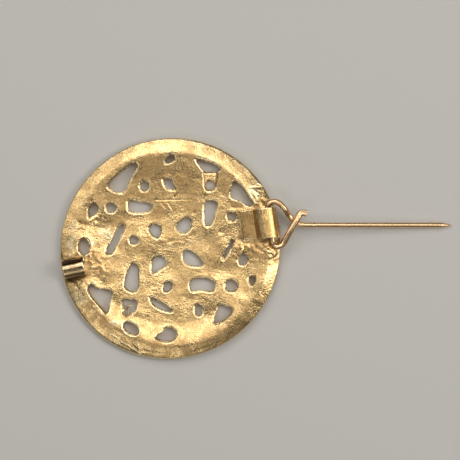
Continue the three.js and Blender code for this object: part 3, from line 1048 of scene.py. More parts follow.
        # Wear and painted highlight: the lips, the rim, bright patches and worn ridges lower the bend, which
        # the finish shows bright and smooth.
        rub_and_sheen = self.lip_sheen_and_wear * smooth_step(gap, 1.3 * self.lip_width, 0.8 * self.lip_width)
        rub_and_sheen += self.rim_sheen_and_wear * self._rim_grade(points)
        patchy = np.clip(1.0 + 1.6 * field_noise(points, 1.1, 91.0, 2), 0.0, 1.6)
        rub_and_sheen += patchy * sum(mark.height(points) for mark in self.painted_highlights)
        rub_and_sheen += self.ridge_wear * np.maximum(sum(mark.height(points) for mark in self.strokes), 0.0)
        surface.store("bend", surface.hollowness() - rub_and_sheen * faces[Face.BACK])
        surface.store("solder", solder * faces[Face.BACK])
        # Painted shadow and shade, the darker pits and the lower rim's painted shade all darken the finish
        # here.
        shade_and_grime = sum(mark.height(points) for mark in self.shade_and_grime_marks) + self._lower_rim_shade(points)
        surface.store("shade_and_grime", np.clip(shade_and_grime, 0.0, 0.9) * faces[Face.BACK])
        return surface

    def _rim_grade(self, points: np.ndarray) -> np.ndarray:
        """Grades where the rim is rubbed by wear, most at its top and along its outer edge.

        Args:
            points: The points of the worked mesh.

        Returns:
            0 where it isn't brightened, 1 or more where it is bright.
        """
        reach = np.hypot(points[:, 0], points[:, 1])
        band = smooth_step(reach, self.crest_radius - 1.3, self.crest_radius + 0.5)
        band *= 0.3 + 0.7 * smooth_step(points[:, 1], -12.0, 4.0)
        outermost = smooth_step(reach, self.edge_radius + 0.1, self.edge_radius + 0.35)
        return band * np.clip(0.6 + 1.1 * field_noise(points, 2.6, 83.0, 2), 0.0, 1.4) + outermost

    def _lower_rim_shade(self, points: np.ndarray) -> np.ndarray:
        """Grades the painted shade, a brown darkening, along the lower half of the rim's crest.

        Args:
            points: The points of the worked mesh.

        Returns:
            How strongly each point is tarnished.
        """
        reach = np.hypot(points[:, 0], points[:, 1])
        band = np.exp(-(((reach - self.crest_radius + 0.4) / 0.9) ** 2))
        lower = smooth_step(points[:, 1], -6.0, -14.0)
        return 0.32 * band * lower * np.clip(0.8 + field_noise(points, 1.8, 87.0, 2), 0.0, 1.3)

    def _wall_tree(self, node: bpy.types.Object) -> BVHTree:
        """Collects the walls of the CAD disc's piercings.

        Args:
            node: The CAD disc.

        Returns:
            A tree that finds the nearest wall.
        """
        corners, faces = merged_shape(node)
        walls = []
        for face in faces:
            a, b, c = (corners[index] for index in face[:3])
            normal = np.cross(b - a, c - a)
            upright = abs(normal[2]) < 0.2 * np.linalg.norm(normal)
            if upright and math.hypot(*((a + b + c) / 3)[:2]) < self.edge_radius - 0.4:
                walls.append(face)
        return BVHTree.FromPolygons(corners.tolist(), walls)

    @staticmethod
    def _gap(tree: BVHTree, points: np.ndarray) -> np.ndarray:
        """Gives each point's distance from the nearest face of a tree."""
        return np.array([tree.find_nearest(place)[3] for place in points.tolist()])

    def _fine_places(self, walls: BVHTree, surface: Surface) -> np.ndarray:
        """Finds the places on the back that carry fine forms: the piercings' lips and the cuts.

        Args:
            walls: The piercings' walls.
            surface: The mesh before it is worked.

        Returns:
            True for each point in such a place.
        """
        points = surface.points
        near = self._gap(walls, points) < self.fine_reach
        for cut in self.strokes:
            near |= segment_distance(points, cut.start, cut.end)[0] < self.fine_reach
        return near & (points[:, 2] > 0.6) & (surface.normals()[:, 2] > 0.2)

    def _true_walls(self, walls: BVHTree, surface: Surface) -> None:
        """Draws the mesh's walls onto the piercings' true outlines.

        Args:
            walls: The piercings' walls.
            surface: The mesh, changed in place.
        """
        points = surface.points
        upright = smooth_step(np.abs(surface.normals()[:, 2]), 0.75, 0.35)
        found = [walls.find_nearest(place) for place in points.tolist()]
        nearest = np.array([hit[0] for hit in found])
        close = smooth_step(np.array([hit[3] for hit in found]), 0.2, 0.1)
        points[:, :2] += (nearest - points)[:, :2] * (upright * close)[:, None]

    def _face_kinds(self, points: np.ndarray, normals: np.ndarray) -> dict[Face, np.ndarray]:
        """Grades how much each point belongs to the back, the front and the walls.

        Args:
            points: The points of the worked mesh.
            normals: Their outward directions.

        Returns:
            A grade from 0 to 1 for each kind of face.
        """
        inside = smooth_step(np.hypot(points[:, 0], points[:, 1]), self.radius, self.edge_radius)
        back = smooth_step(normals[:, 2], 0.25, 0.7)
        front = smooth_step(normals[:, 2], -0.25, -0.7)
        return {Face.BACK: back, Face.FRONT: front * inside, Face.WALL: (1.0 - back) * (1.0 - front)}

    @staticmethod
    def _fitting_grade(points: np.ndarray, fittings: list[str]) -> np.ndarray:
        """Grades how close each point is to a fitting's footprint.

        Args:
            points: The points of the worked mesh.
            fittings: Names of the CAD nodes soldered to the disc.

        Returns:
            1 under a fitting, falling to 0 a little way outside it.
        """
        grade = np.zeros(len(points))
        for name in fittings:
            low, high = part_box(name)
            middle = np.array([(low[k] + high[k]) / 2 for k in (0, 1)]) / MM
            half = np.array([(high[k] - low[k]) / 2 for k in (0, 1)]) / MM
            beyond = np.maximum(np.abs(points[:, :2] - middle) - half, 0.0)
            grade = np.maximum(grade, smooth_step(np.linalg.norm(beyond, axis=1), 0.9, 0.1))
        return grade

    def _solder_grade(self, points: np.ndarray) -> np.ndarray:
        """Grades where solder has flowed over the back."""
        grades = [blot.grade(points) for blot in self.solders]
        return np.clip(np.sum(grades, axis=0), 0.0, 1.0)

    def _shape_back(self, points: np.ndarray, back: np.ndarray, near_fitting: np.ndarray) -> None:
        """Gives the back its dish, inner slope and broad rim.

        Args:
            points: The points of the worked mesh, changed in place.
            back: How much each point belongs to the back.
            near_fitting: How close each point is to a fitting.
        """
        reach = np.hypot(points[:, 0], points[:, 1])
        dish = self.dish_height + self.dish_depth * np.minimum(reach / self.slope_foot, 1.0) ** 2
        slope = smooth_step(reach, self.slope_foot, self.crest_radius)
        height = dish + (self.crest_height - self.dish_height - self.dish_depth) * slope
        fall = np.clip((reach - self.crest_radius) / (self.edge_radius - self.crest_radius), 0.0, 1.3)
        height -= self.edge_drop * fall**1.25
        on_top = back * (1.0 - near_fitting) * smooth_step(reach, self.radius, self.radius - 0.2)
        above_pockets = smooth_step(points[:, 2], 1.15, 1.3)
        on_top *= np.maximum(above_pockets, smooth_step(reach, 11.5, 10.5))
        points[:, 2] += (height - points[:, 2]) * on_top

    def _back_relief(
        self, points: np.ndarray, gap: np.ndarray, solder: np.ndarray, near_fitting: np.ndarray
    ) -> np.ndarray:
        """Works out every mark on the back.

        Args:
            points: The points of the worked mesh.
            gap: Distance from the nearest piercing.
            solder: Where solder has flowed.
            near_fitting: How close each point is to a fitting.

        Returns:
            How far each point is moved up.
        """
        flat = points * np.array([1.0, 1.0, 0.0])
        lift = sum(mark.height(points) for mark in (*self.swells, *self.pits, *self.strokes))
        lift += 0.13 * field_noise(flat, 5.0, 3.1)
        lift += 0.05 * field_noise(flat, 2.3, 5.3)
        lift += 0.026 * field_noise(flat, 1.3, 8.4, 2)
        lumps = np.abs(field_noise(flat, 1.2, 15.2, 2))
        lift += solder * (0.42 * lumps + 0.02)
        width = self.lip_width * (1.0 + 0.35 * field_noise(flat, 2.5, 21.0))
        lip = np.clip(1.0 - gap / width, 0.0, 1.0)
        lift -= self.lip_drop * lip
        lift += self.burr * np.exp(-(((gap - width - 0.1) / 0.16) ** 2))
        lift += self._rim_marks(points)
        return lift * (1.0 - near_fitting)

    @staticmethod
    def _solder_fillet(points: np.ndarray, strap: bpy.types.Object) -> np.ndarray:
        """Works out the solder drawn up along the strap's tail, which hides its edge.

        Args:
            points: The points of the worked mesh.
            strap: The CAD strap.

        Returns:
            How far each point is moved up.
        """
        corners, faces = merged_shape(strap)
        tree = BVHTree.FromPolygons(corners.tolist(), faces)
        tail = smooth_step(points[:, 0], 15.6, 14.4)
        gap = PiercedDisc._gap(tree, points)
        width = 0.75 + 0.3 * field_noise(points, 0.9, 71.0)
        return 0.34 * tail * smooth_step(gap, width, 0.0)

    def _rim_marks(self, points: np.ndarray) -> np.ndarray:
        """Works out the small step round the rim and the tool facets on its lower left.

        Args:
            points: The points of the worked mesh.

        Returns:
            How far each point is moved up.
        """
        reach = np.hypot(points[:, 0], points[:, 1])
        angle = np.degrees(np.arctan2(points[:, 1], points[:, 0])) % 360.0
        lower = smooth_step(angle, 200.0, 235.0) * smooth_step(angle, 330.0, 300.0)
        broken = smooth_step(field_noise(points, 2.2, 77.0), -0.15, 0.25)
        step = -0.05 * np.exp(-(((reach - 18.95) / 0.16) ** 2)) * (0.2 + 0.8 * lower) * broken
        facets = np.zeros(len(points))
        for index in range(8):
            turn = 201.0 + 6.5 * index
            around = math.radians(turn)
            middle = (18.2 * math.cos(around), 18.2 * math.sin(around))
            dent = Swell(middle, (1.0, 0.8 + 0.1 * (index % 3)), turn, -0.11)
            facets += dent.height(points)
        return step + facets

    def _front_relief(self, points: np.ndarray, gap: np.ndarray) -> np.ndarray:
        """Works out the display face: a groove along each piercing and a channel for the beads.

        Args:
            points: The points of the worked mesh.
            gap: Distance from the nearest piercing.

        Returns:
            How far each point is moved up, into the disc.
        """
        reach = np.hypot(points[:, 0], points[:, 1])
        field = smooth_step(reach, 17.2, 16.8)
        groove = 0.20 * np.exp(-(((gap - 0.85) / 0.2) ** 2)) * field
        lip = 0.22 * np.clip(1.0 - gap / 0.35, 0.0, 1.0) ** 1.5
        channel = 0.42 * smooth_step(np.abs(reach - 18.3), 0.62, 0.4)
        ring = 0.18 * np.exp(-(((reach - 17.2) / 0.16) ** 2))
        return groove + lip + channel + ring

    @staticmethod
    def _roughen_walls(points: np.ndarray, normals: np.ndarray, wall: np.ndarray) -> None:
        """Makes the sawn walls and the outer edge a little uneven.

        Args:
            points: The points of the worked mesh, changed in place.
            normals: Their outward directions.
            wall: How much each point belongs to a wall.
        """
        sideways = normals * np.array([1.0, 1.0, 0.0])
        amount = 0.02 * field_noise(points, 1.3, 31.0, 2) * wall
        points += sideways * amount[:, None]


# ---------------------------------------------------------------- swept wire


@dataclass(frozen=True)
class SweptWire:
    """A round section swept along a line by Geometry Nodes.

    Attributes:
        sides: Number of sides of its section.
        spacing: Distance between its sections in millimetres.
    """

    sides: int
    spacing: float

    def mesh(self, line: np.ndarray, radii: np.ndarray, material: bpy.types.Material) -> bpy.types.Mesh:
        """Sweeps the section.

        Args:
            line: The middle line's points.
            radii: The wire's radius at each of them.
            material: The wire's finish.

        Returns:
            The wire's mesh in millimetres.
        """
        curve = bpy.data.curves.new("wire", "CURVE")
        curve.dimensions = "3D"
        spline = curve.splines.new("POLY")
        spline.points.add(len(line) - 1)
        for place, row, radius in zip(spline.points, line, radii):
            place.co = (*row, 1.0)
            place.radius = radius
        worker = bpy.data.objects.new("wire", curve)
        bpy.context.scene.collection.objects.link(worker)
        return grown_mesh(worker, self._tree(material), {"Sides": self.sides, "Spacing": self.spacing})

    @staticmethod
    def _tree(material: bpy.types.Material) -> bpy.types.NodeTree:
        """Builds the node tree that turns a curve into a wire with closed ends.

        Args:
            material: The wire's finish.

        Returns:
            The Geometry Nodes tree.
        """
        tree = bpy.data.node_groups.new("swept wire", "GeometryNodeTree")
        face = tree.interface
        face.new_socket(name="Geometry", in_out="INPUT", socket_type="NodeSocketGeometry")
        face.new_socket(name="Sides", in_out="INPUT", socket_type="NodeSocketInt")
        face.new_socket(name="Spacing", in_out="INPUT", socket_type=FLOAT)
        face.new_socket(name="Geometry", in_out="OUTPUT", socket_type="NodeSocketGeometry")
        sheet = NodeSheet(tree)
        given = sheet.node("NodeGroupInput")
        spaced = sheet.node("GeometryNodeResampleCurve", mode="LENGTH")
        sheet.feed(spaced, Curve=given.outputs["Geometry"], Length=given.outputs["Spacing"])
        share = sheet.node("GeometryNodeSplineParameter")
        marked = sheet.node("GeometryNodeStoreNamedAttribute", data_type="FLOAT", domain="POINT")
        sheet.feed(marked, Geometry=spaced.outputs["Curve"], Name="along", Value=share.outputs["Factor"])
        section = sheet.feed(sheet.node("GeometryNodeCurvePrimitiveCircle"),
                             Resolution=given.outputs["Sides"], Radius=1.0)
        width = sheet.node("GeometryNodeInputRadius")
        swept = sheet.node("GeometryNodeCurveToMesh")
        sheet.feed(swept, Curve=marked.outputs["Geometry"], Profile_Curve=section.outputs["Curve"],
                   Scale=width.outputs["Radius"], Fill_Caps=True)
        real = sheet.feed(sheet.node("GeometryNodeRealizeInstances"), Geometry=swept.outputs["Mesh"])
        dressed = sheet.feed(sheet.node("GeometryNodeSetMaterial"), Geometry=real.outputs["Geometry"],
                             Material=material)
        sheet.feed(sheet.node("NodeGroupOutput"), Geometry=dressed.outputs["Geometry"])
        return tree


@dataclass(frozen=True)
class MetalCurl:
    """A curled sliver left hanging in one piercing by the tool that cut it.

    Attributes:
        centre: Middle of the curl in millimetres.
        radius: Radius of the curl.
        height: Height of its loose end.
        thickness: Half its thickness where it is thickest.
        sweep: Where it starts and ends around its middle, in degrees.
        root: Where it grows from the wall.
    """

    centre: Pair = (-7.42, -10.82)
    radius: float = 0.48
    height: float = 1.05
    thickness: float = 0.19
    sweep: Pair = (222.0, 38.0)
    root: Triple = (-7.62, -12.0, 0.5)

    def build(self, material: bpy.types.Material) -> bpy.types.Mesh:
        """Sweeps the curl.

        Args:
            material: The disc's finish.

        Returns:
            Its mesh in millimetres.
        """
        angles = np.radians(np.linspace(*self.sweep, 14))
        rise = np.linspace(self.root[2], self.height, 14)
        x = self.centre[0] + self.radius * np.cos(angles)
        y = self.centre[1] + self.radius * np.sin(angles)
        line = np.vstack([self.root, np.stack([x, y, rise], axis=1)])
        share = np.linspace(0.0, 1.0, len(line))
        radii = self.thickness * (0.5 + 0.5 * np.sin(np.pi * np.clip(1.15 * share - 0.1, 0.0, 0.95)))
        surface = Surface(SweptWire(12, 0.05).mesh(line, radii, material))
        # Painted highlight brightens the curl's top.
        surface.store("bend", -1.5 * smooth_step(surface.points[:, 1], -11.0, -10.4))
        for name in ("solder", "shade_and_grime"):
            surface.store(name, np.zeros(len(surface.points)))
        return surface.mesh


# ---------------------------------------------------------------- bead border


@dataclass
class BeadBorder:
    """The ring of small beads on the display face, made by Geometry Nodes.

    Attributes:
        ring_radius: Radius of the ring, in millimetres.
        bead_radius: Radius of one bead.
        count: Number of beads.
        unevenness: How much the beads' sizes differ, 0 to 1.
        stretch: How much longer the disc is one way.
        stretch_turn: Which way that is, in degrees.
    """

    ring_radius: float = 18.3
    bead_radius: float = 0.36
    count: int = 140
    unevenness: float = 0.12
    stretch: float = 0.0135
    stretch_turn: float = 45.0

    def build(self, material: bpy.types.Material) -> bpy.types.Mesh:
        """Builds the ring of beads.

        Args:
            material: The beads' finish.

        Returns:
            One mesh in millimetres.
        """
        worker = bpy.data.objects.new("beads", bpy.data.meshes.new("beads"))
        bpy.context.scene.collection.objects.link(worker)
        sizes = {
            "Ring radius": self.ring_radius,
            "Bead radius": self.bead_radius,
            "Count": self.count,
            "Unevenness": self.unevenness,
        }
        mesh = grown_mesh(worker, self._tree(material), sizes)
        surface = Surface(mesh)
        angle = np.arctan2(surface.points[:, 1], surface.points[:, 0])
        longer = 1.0 + self.stretch * np.cos(2.0 * (angle - math.radians(self.stretch_turn)))
        surface.points[:, :2] *= longer[:, None]
        surface.store("bend", np.full(len(surface.points), -0.6))
        for name in ("solder", "shade_and_grime"):
            surface.store(name, np.zeros(len(surface.points)))
        surface.write()
        return mesh

    @staticmethod
    def _tree(material: bpy.types.Material) -> bpy.types.NodeTree:
        """Builds the node tree that sets beads evenly round a circle.

        Args:
            material: The beads' finish.

        Returns:
            The Geometry Nodes tree.
        """
        tree = bpy.data.node_groups.new("bead border", "GeometryNodeTree")
        face = tree.interface
        face.new_socket(name="Ring radius", in_out="INPUT", socket_type=FLOAT)
        face.new_socket(name="Bead radius", in_out="INPUT", socket_type=FLOAT)
        face.new_socket(name="Count", in_out="INPUT", socket_type="NodeSocketInt")
        face.new_socket(name="Unevenness", in_out="INPUT", socket_type=FLOAT)
        face.new_socket(name="Geometry", in_out="OUTPUT", socket_type="NodeSocketGeometry")
        sheet = NodeSheet(tree)
        given = sheet.node("NodeGroupInput")
        ring = sheet.feed(sheet.node("GeometryNodeMeshCircle"), Vertices=given.outputs["Count"],
                          Radius=given.outputs["Ring radius"])
        raised = sheet.feed(sheet.node("ShaderNodeCombineXYZ"), Z=given.outputs["Bead radius"])
        placed = sheet.feed(sheet.node("GeometryNodeSetPosition"), Geometry=ring.outputs["Mesh"],
                            Offset=raised.outputs["Vector"])
        bead = sheet.feed(sheet.node("GeometryNodeMeshUVSphere"), Segments=10, Rings=6,
                          Radius=given.outputs["Bead radius"])
        least = sheet.math("SUBTRACT", 1.0, given.outputs["Unevenness"])
        size = sheet.node("FunctionNodeRandomValue", data_type="FLOAT")
        tree.links.new(least, size.inputs[2])
        size.inputs[3].default_value = 1.0
        size.inputs["Seed"].default_value = 7
        beads = sheet.feed(sheet.node("GeometryNodeInstanceOnPoints"), Points=placed.outputs["Geometry"],
                           Instance=bead.outputs["Mesh"])
        tree.links.new(size.outputs[1], beads.inputs["Scale"])
        real = sheet.feed(sheet.node("GeometryNodeRealizeInstances"), Geometry=beads.outputs["Instances"])
        dressed = sheet.feed(sheet.node("GeometryNodeSetMaterial"), Geometry=real.outputs["Geometry"],
                             Material=material)
        sheet.feed(sheet.node("NodeGroupOutput"), Geometry=dressed.outputs["Geometry"])
        return tree


# ---------------------------------------------------------------- strap and catch


@dataclass
class SheetFitting:
    """A fitting bent from thin gold sheet and soldered to the disc.

    Attributes:
        name: The piece's name.
        voxel: Size of its mesh's faces, in millimetres.
        ease: How many times its corners are eased.
        dent: Depth of the dents that bending it left.
        dent_size: Size of those dents.
        seed: Makes one fitting's dents differ from another's.
        solder: Where solder has flowed up on it.
        shade_and_grime_marks: Where painted shade and shadow darken it.
        painted_highlights: Where painted highlights brighten it.
    """

    name: str
    voxel: float
    ease: int
    dent: float
    dent_size: float
    seed: float
    solder: tuple[Swell, ...] = ()
    shade_and_grime_marks: tuple[Swell, ...] = ()
    painted_highlights: tuple[Swell, ...] = ()

    def build(self, node: bpy.types.Object) -> Surface:
        """Works the fitting's mesh.

        Args:
            node: The CAD node.

        Returns:
            The worked surface with its attributes.
        """
        surface = voxel_surface(node, self.voxel)
        surface.relax(self.ease)
        normals = surface.normals()
        dents = self.dent * field_noise(surface.points, self.dent_size, self.seed, 2)
        surface.points += normals * dents[:, None]
        surface.relax(1)
        # Painted highlights lower the bend, which the finish shows bright.
        rub_and_sheen = sum((mark.height(surface.points) for mark in self.painted_highlights), np.zeros(len(surface.points)))
        surface.store("bend", surface.hollowness() - rub_and_sheen)
        # Painted shade and shadow are stored in the darkening value, beside the solder.
        for name, blots in (("solder", self.solder), ("shade_and_grime", self.shade_and_grime_marks)):
            grade = sum((blot.height(surface.points) for blot in blots), np.zeros(len(surface.points)))
            surface.store(name, np.clip(grade, 0.0, 0.9))
        return surface


HINGE_STRAP = SheetFitting(
    "hinge_strap_gold", voxel=0.085, ease=16, dent=0.015, dent_size=1.6, seed=41.0,
    solder=(Swell((13.2, 4.4), (0.7, 3.0), 8.7, 1.0),),
    # Painted shade darkens the roll's right flank.
    shade_and_grime_marks=(
        Swell((17.75, 4.6), (0.55, 3.4), 8.7, 0.3),
        Swell((18.5, 4.6), (0.28, 3.4), 8.7, 0.36),
        Swell((19.6, 4.5), (0.5, 3.2), 8.7, 0.45),
    ),
    # Painted highlights brighten two bands on the roll's left shoulder.
    painted_highlights=(Swell((16.0, 4.6), (0.2, 3.4), 8.7, 1.5), Swell((16.8, 4.6), (0.16, 3.4), 8.7, 1.2)),
)
CATCH = SheetFitting(
    "catch_gold", voxel=0.075, ease=6, dent=0.012, dent_size=1.3, seed=53.0,
    # Painted shade darkens the closed side, and painted shadow lies under the open lip.
    shade_and_grime_marks=(Swell((-17.52, -2.26), (3.0, 0.6), 12.5, 1.6), Swell((-16.9, -4.9), (3.0, 0.5), 12.5, 0.5)),
    # A painted highlight runs as a strip along the rounded top.
    painted_highlights=(Swell((-17.36, -2.99), (2.6, 0.22), 12.5, 0.8),),
)


# ---------------------------------------------------------------- pin


@dataclass
class BentPin:
    """The pin: one wire from its cut end, round through the strap, to its point.

    Attributes:
        hinge_height: Height of the wire where it turns in the strap, in millimetres.
        wire_radius: Radius of the bent wire.
        shank_radius: Radius of the shank at its start.
        shank_end_radius: Radius of the shank before its point.
        bend: Where the straight shank starts: its x, y and height.
        tip: The end of the point.
        point_length: Length of the sharpened point.
        flat_width: How much wider the hammered leg is than the wire.
        flat_depth: How much thinner it is.
        sides: Number of sides of the wire's section.
        spacing: Distance between its sections in millimetres.
        route: The bent wire's chosen points: x, y and how far above the hinge's height.
    """

    hinge_height: float = 3.25
    wire_radius: float = 0.53
    shank_radius: float = 0.52
    shank_end_radius: float = 0.49
    bend: Triple = (23.6, 4.22, 2.45)
    tip: Triple = (50.9, 4.22, 0.5)
    point_length: float = 1.9
    flat_width: float = 1.12
    flat_depth: float = 0.8
    sides: int = 28
    spacing: float = 0.12
    route: tuple[Triple, ...] = (
        (24.5, 6.3, 0.2),
        (23.65, 6.42, 0.2),
        (23.2, 6.15, 0.2),
        (22.98, 5.65, 0.2),
        (22.5, 4.8, 0.2),
        (21.42, 2.95, 0.1),
        (20.55, 1.35, -0.2),
        (19.98, 0.6, -0.3),
        (19.25, 0.33, -0.3),
        (18.62, 0.62, -0.3),
        (18.4, 1.2, -0.08),
        (18.28, 2.1, 0.0),
        (17.62, 6.4, 0.0),
        (17.47, 7.4, 0.0),
        (17.66, 8.0, 0.1),
        (18.2, 8.36, 0.1),
        (19.0, 8.4, 0.1),
        (19.8, 7.98, 0.1),
        (20.55, 7.12, 0.0),
        (21.34, 6.0, -0.6),
        (22.05, 5.2, -0.8),
        (22.85, 4.5, -0.8),
    )

    def build(self, material: bpy.types.Material) -> Surface:
        """Sweeps the wire and works it.

        Args:
            material: The pin's finish.

        Returns:
            The worked surface with its attributes.
        """
        line = self._middle_line()
        radii = self._radii(line)
        surface = Surface(SweptWire(self.sides, self.spacing).mesh(line, radii, material))
        self._work(surface, line)
        bend = surface.hollowness()
        surface.store("bend", 0.4 * (bend - np.median(bend)))
        surface.store("solder", np.zeros(len(surface.points)))
        return surface

    def _on_shank(self, x: float) -> np.ndarray:
        """Gives the point of the straight shank's middle line at an x."""
        start, end = np.array(self.bend), np.array(self.tip)
        return start + (end - start) * (x - start[0]) / (end[0] - start[0])

    def _middle_line(self) -> np.ndarray:
        """Works out the wire's middle line as closely spaced points.

        Returns:
            The points, from the cut end to the tip.
        """
        bent = [np.array((x, y, self.hinge_height + lift)) for x, y, lift in self.route]
        bent += [self._on_shank(x) for x in (23.95, 24.9, 26.0)]
        line = [bent[0]]
        for index in range(len(bent) - 1):
            line += self._between(bent, index, 8)
        straight = np.linspace(26.2, self.tip[0], 180)
        line += [self._on_shank(x) for x in straight]
        return np.array(line)

    @staticmethod
    def _between(points: list[np.ndarray], index: int, steps: int) -> list[np.ndarray]:
        """Walks a smooth curve from one chosen point to the next.

        The curve bends by the square root of the spaces between the points, so that close
        points make a tight bend without a loop.

        Args:
            points: The chosen points.
            index: The point that the walk starts from.
            steps: How many points it gives.

        Returns:
            The points after the start, up to the next chosen point.
        """
        here, there = points[index], points[index + 1]
        before = points[index - 1] if index else 2 * here - there
        after = points[index + 2] if index + 2 < len(points) else 2 * there - here
        gap_in, gap, gap_out = (
            math.sqrt(np.linalg.norm(b - a)) for a, b in ((before, here), (here, there), (there, after))
        )
        leave = (here - before) / gap_in - (there - before) / (gap_in + gap) + (there - here) / gap
        reach = (there - here) / gap - (after - here) / (gap + gap_out) + (after - there) / gap_out
        walked = []
        for t in np.linspace(0.0, 1.0, steps + 1)[1:]:
            walked.append(
                (2 * t**3 - 3 * t**2 + 1) * here
                + (t**3 - 2 * t**2 + t) * leave * gap
                + (3 * t**2 - 2 * t**3) * there
                + (t**3 - t**2) * reach * gap
            )
        return walked

    def _radii(self, line: np.ndarray) -> np.ndarray:
        """Gives the wire's radius at each point of its middle line.

        Args:
            line: The middle line's points.

        Returns:
            The radii.
        """
        x = line[:, 0]
        radii = np.full(len(line), self.wire_radius)
        straight = np.arange(len(line)) >= len(line) - 182
        share = np.clip((x - 26.0) / (self.tip[0] - self.point_length - 26.0), 0.0, 1.0)
        tapered = self.shank_radius + (self.shank_end_radius - self.shank_radius) * share**2
        point = np.clip((self.tip[0] - x) / self.point_length, 0.0, 1.0)
        sharpened = self.shank_end_radius * (0.05 + 0.95 * point**0.85)
        radii[straight] = np.minimum(tapered, sharpened)[straight]
        return radii

    def _work(self, surface: Surface, line: np.ndarray) -> None:
        """Hammers the free leg flat and cuts the groove in its end.

        Args:
            surface: The swept wire, changed in place.
            line: Its middle line.
        """
        along = np.empty(len(surface.points), np.float32)
        surface.mesh.attributes["along"].data.foreach_get("value", along)
        steps = np.linalg.norm(np.diff(line, axis=0), axis=1)
        travelled = np.concatenate([[0.0], np.cumsum(steps)])
        distance = along * travelled[-1]
        middle = np.stack([np.interp(distance, travelled, line[:, k]) for k in range(3)], axis=1)
        ahead = np.stack([np.interp(distance + 0.1, travelled, line[:, k]) for k in range(3)], axis=1)
        behind = np.stack([np.interp(distance - 0.1, travelled, line[:, k]) for k in range(3)], axis=1)
        run = ahead - behind
        run /= np.linalg.norm(run, axis=1)[:, None]
        sideways = np.cross(run, (0.0, 0.0, 1.0))
        sideways /= np.linalg.norm(sideways, axis=1)[:, None]
        upward = np.cross(sideways, run)
        offset = surface.points - middle
        across = np.einsum("ij,ij->i", offset, sideways)
        above = np.einsum("ij,ij->i", offset, upward)
        rest = offset - across[:, None] * sideways - above[:, None] * upward
        flat = smooth_step(distance, 8.6, 7.0)
        across = across * (1.0 + (self.flat_width - 1.0) * flat)
        above = above * (1.0 + (self.flat_depth - 1.0) * flat)
        groove = np.exp(-(((across - 0.05) / 0.13) ** 2)) * smooth_step(distance, 1.5, 1.0) * (above > 0)
        above -= 0.22 * groove
        unevenness = 1.0 + 0.012 * field_noise(surface.points, 1.8, 61.0)
        surface.points = (
            middle + rest + (across * unevenness)[:, None] * sideways + (above * unevenness)[:, None] * upward
        )


# ---------------------------------------------------------------- studio


@dataclass(frozen=True)
class SoftBox:
    """One soft studio light.

    Attributes:
        name: The light's name.
        bearing: Direction it stands in, in degrees from +X towards +Y.
        elevation: Its height above the horizon, in degrees.
        distance: How far it stands from the brooch, in millimetres.
        size: Its width and height.
        power: Its power in watts.
        colour: Its colour.
    """

    name: str
    bearing: float
    elevation: float
    distance: float
    size: Pair
    power: float
    colour: Colour = (1.0, 0.97, 0.92)

    def build(self, aim: Vector) -> None:
        """Sets the light up.

        Args:
            aim: The point that it lights, in metres.
        """
        bearing, elevation = math.radians(self.bearing), math.radians(self.elevation)
        away = Vector((
            math.cos(bearing) * math.cos(elevation),
            math.sin(bearing) * math.cos(elevation),
            math.sin(elevation),
        ))
        light = bpy.data.lights.new(self.name, "AREA")
        light.shape = "RECTANGLE"
        light.size, light.size_y = (length * MM for length in self.size)
        light.energy = self.power
        light.color = self.colour
        lamp = bpy.data.objects.new(self.name, light)
        lamp.location = aim + away * self.distance * MM
        lamp.rotation_mode = "QUATERNION"
        lamp.rotation_quaternion = away.to_track_quat("Z", "Y")
        bpy.context.scene.collection.objects.link(lamp)


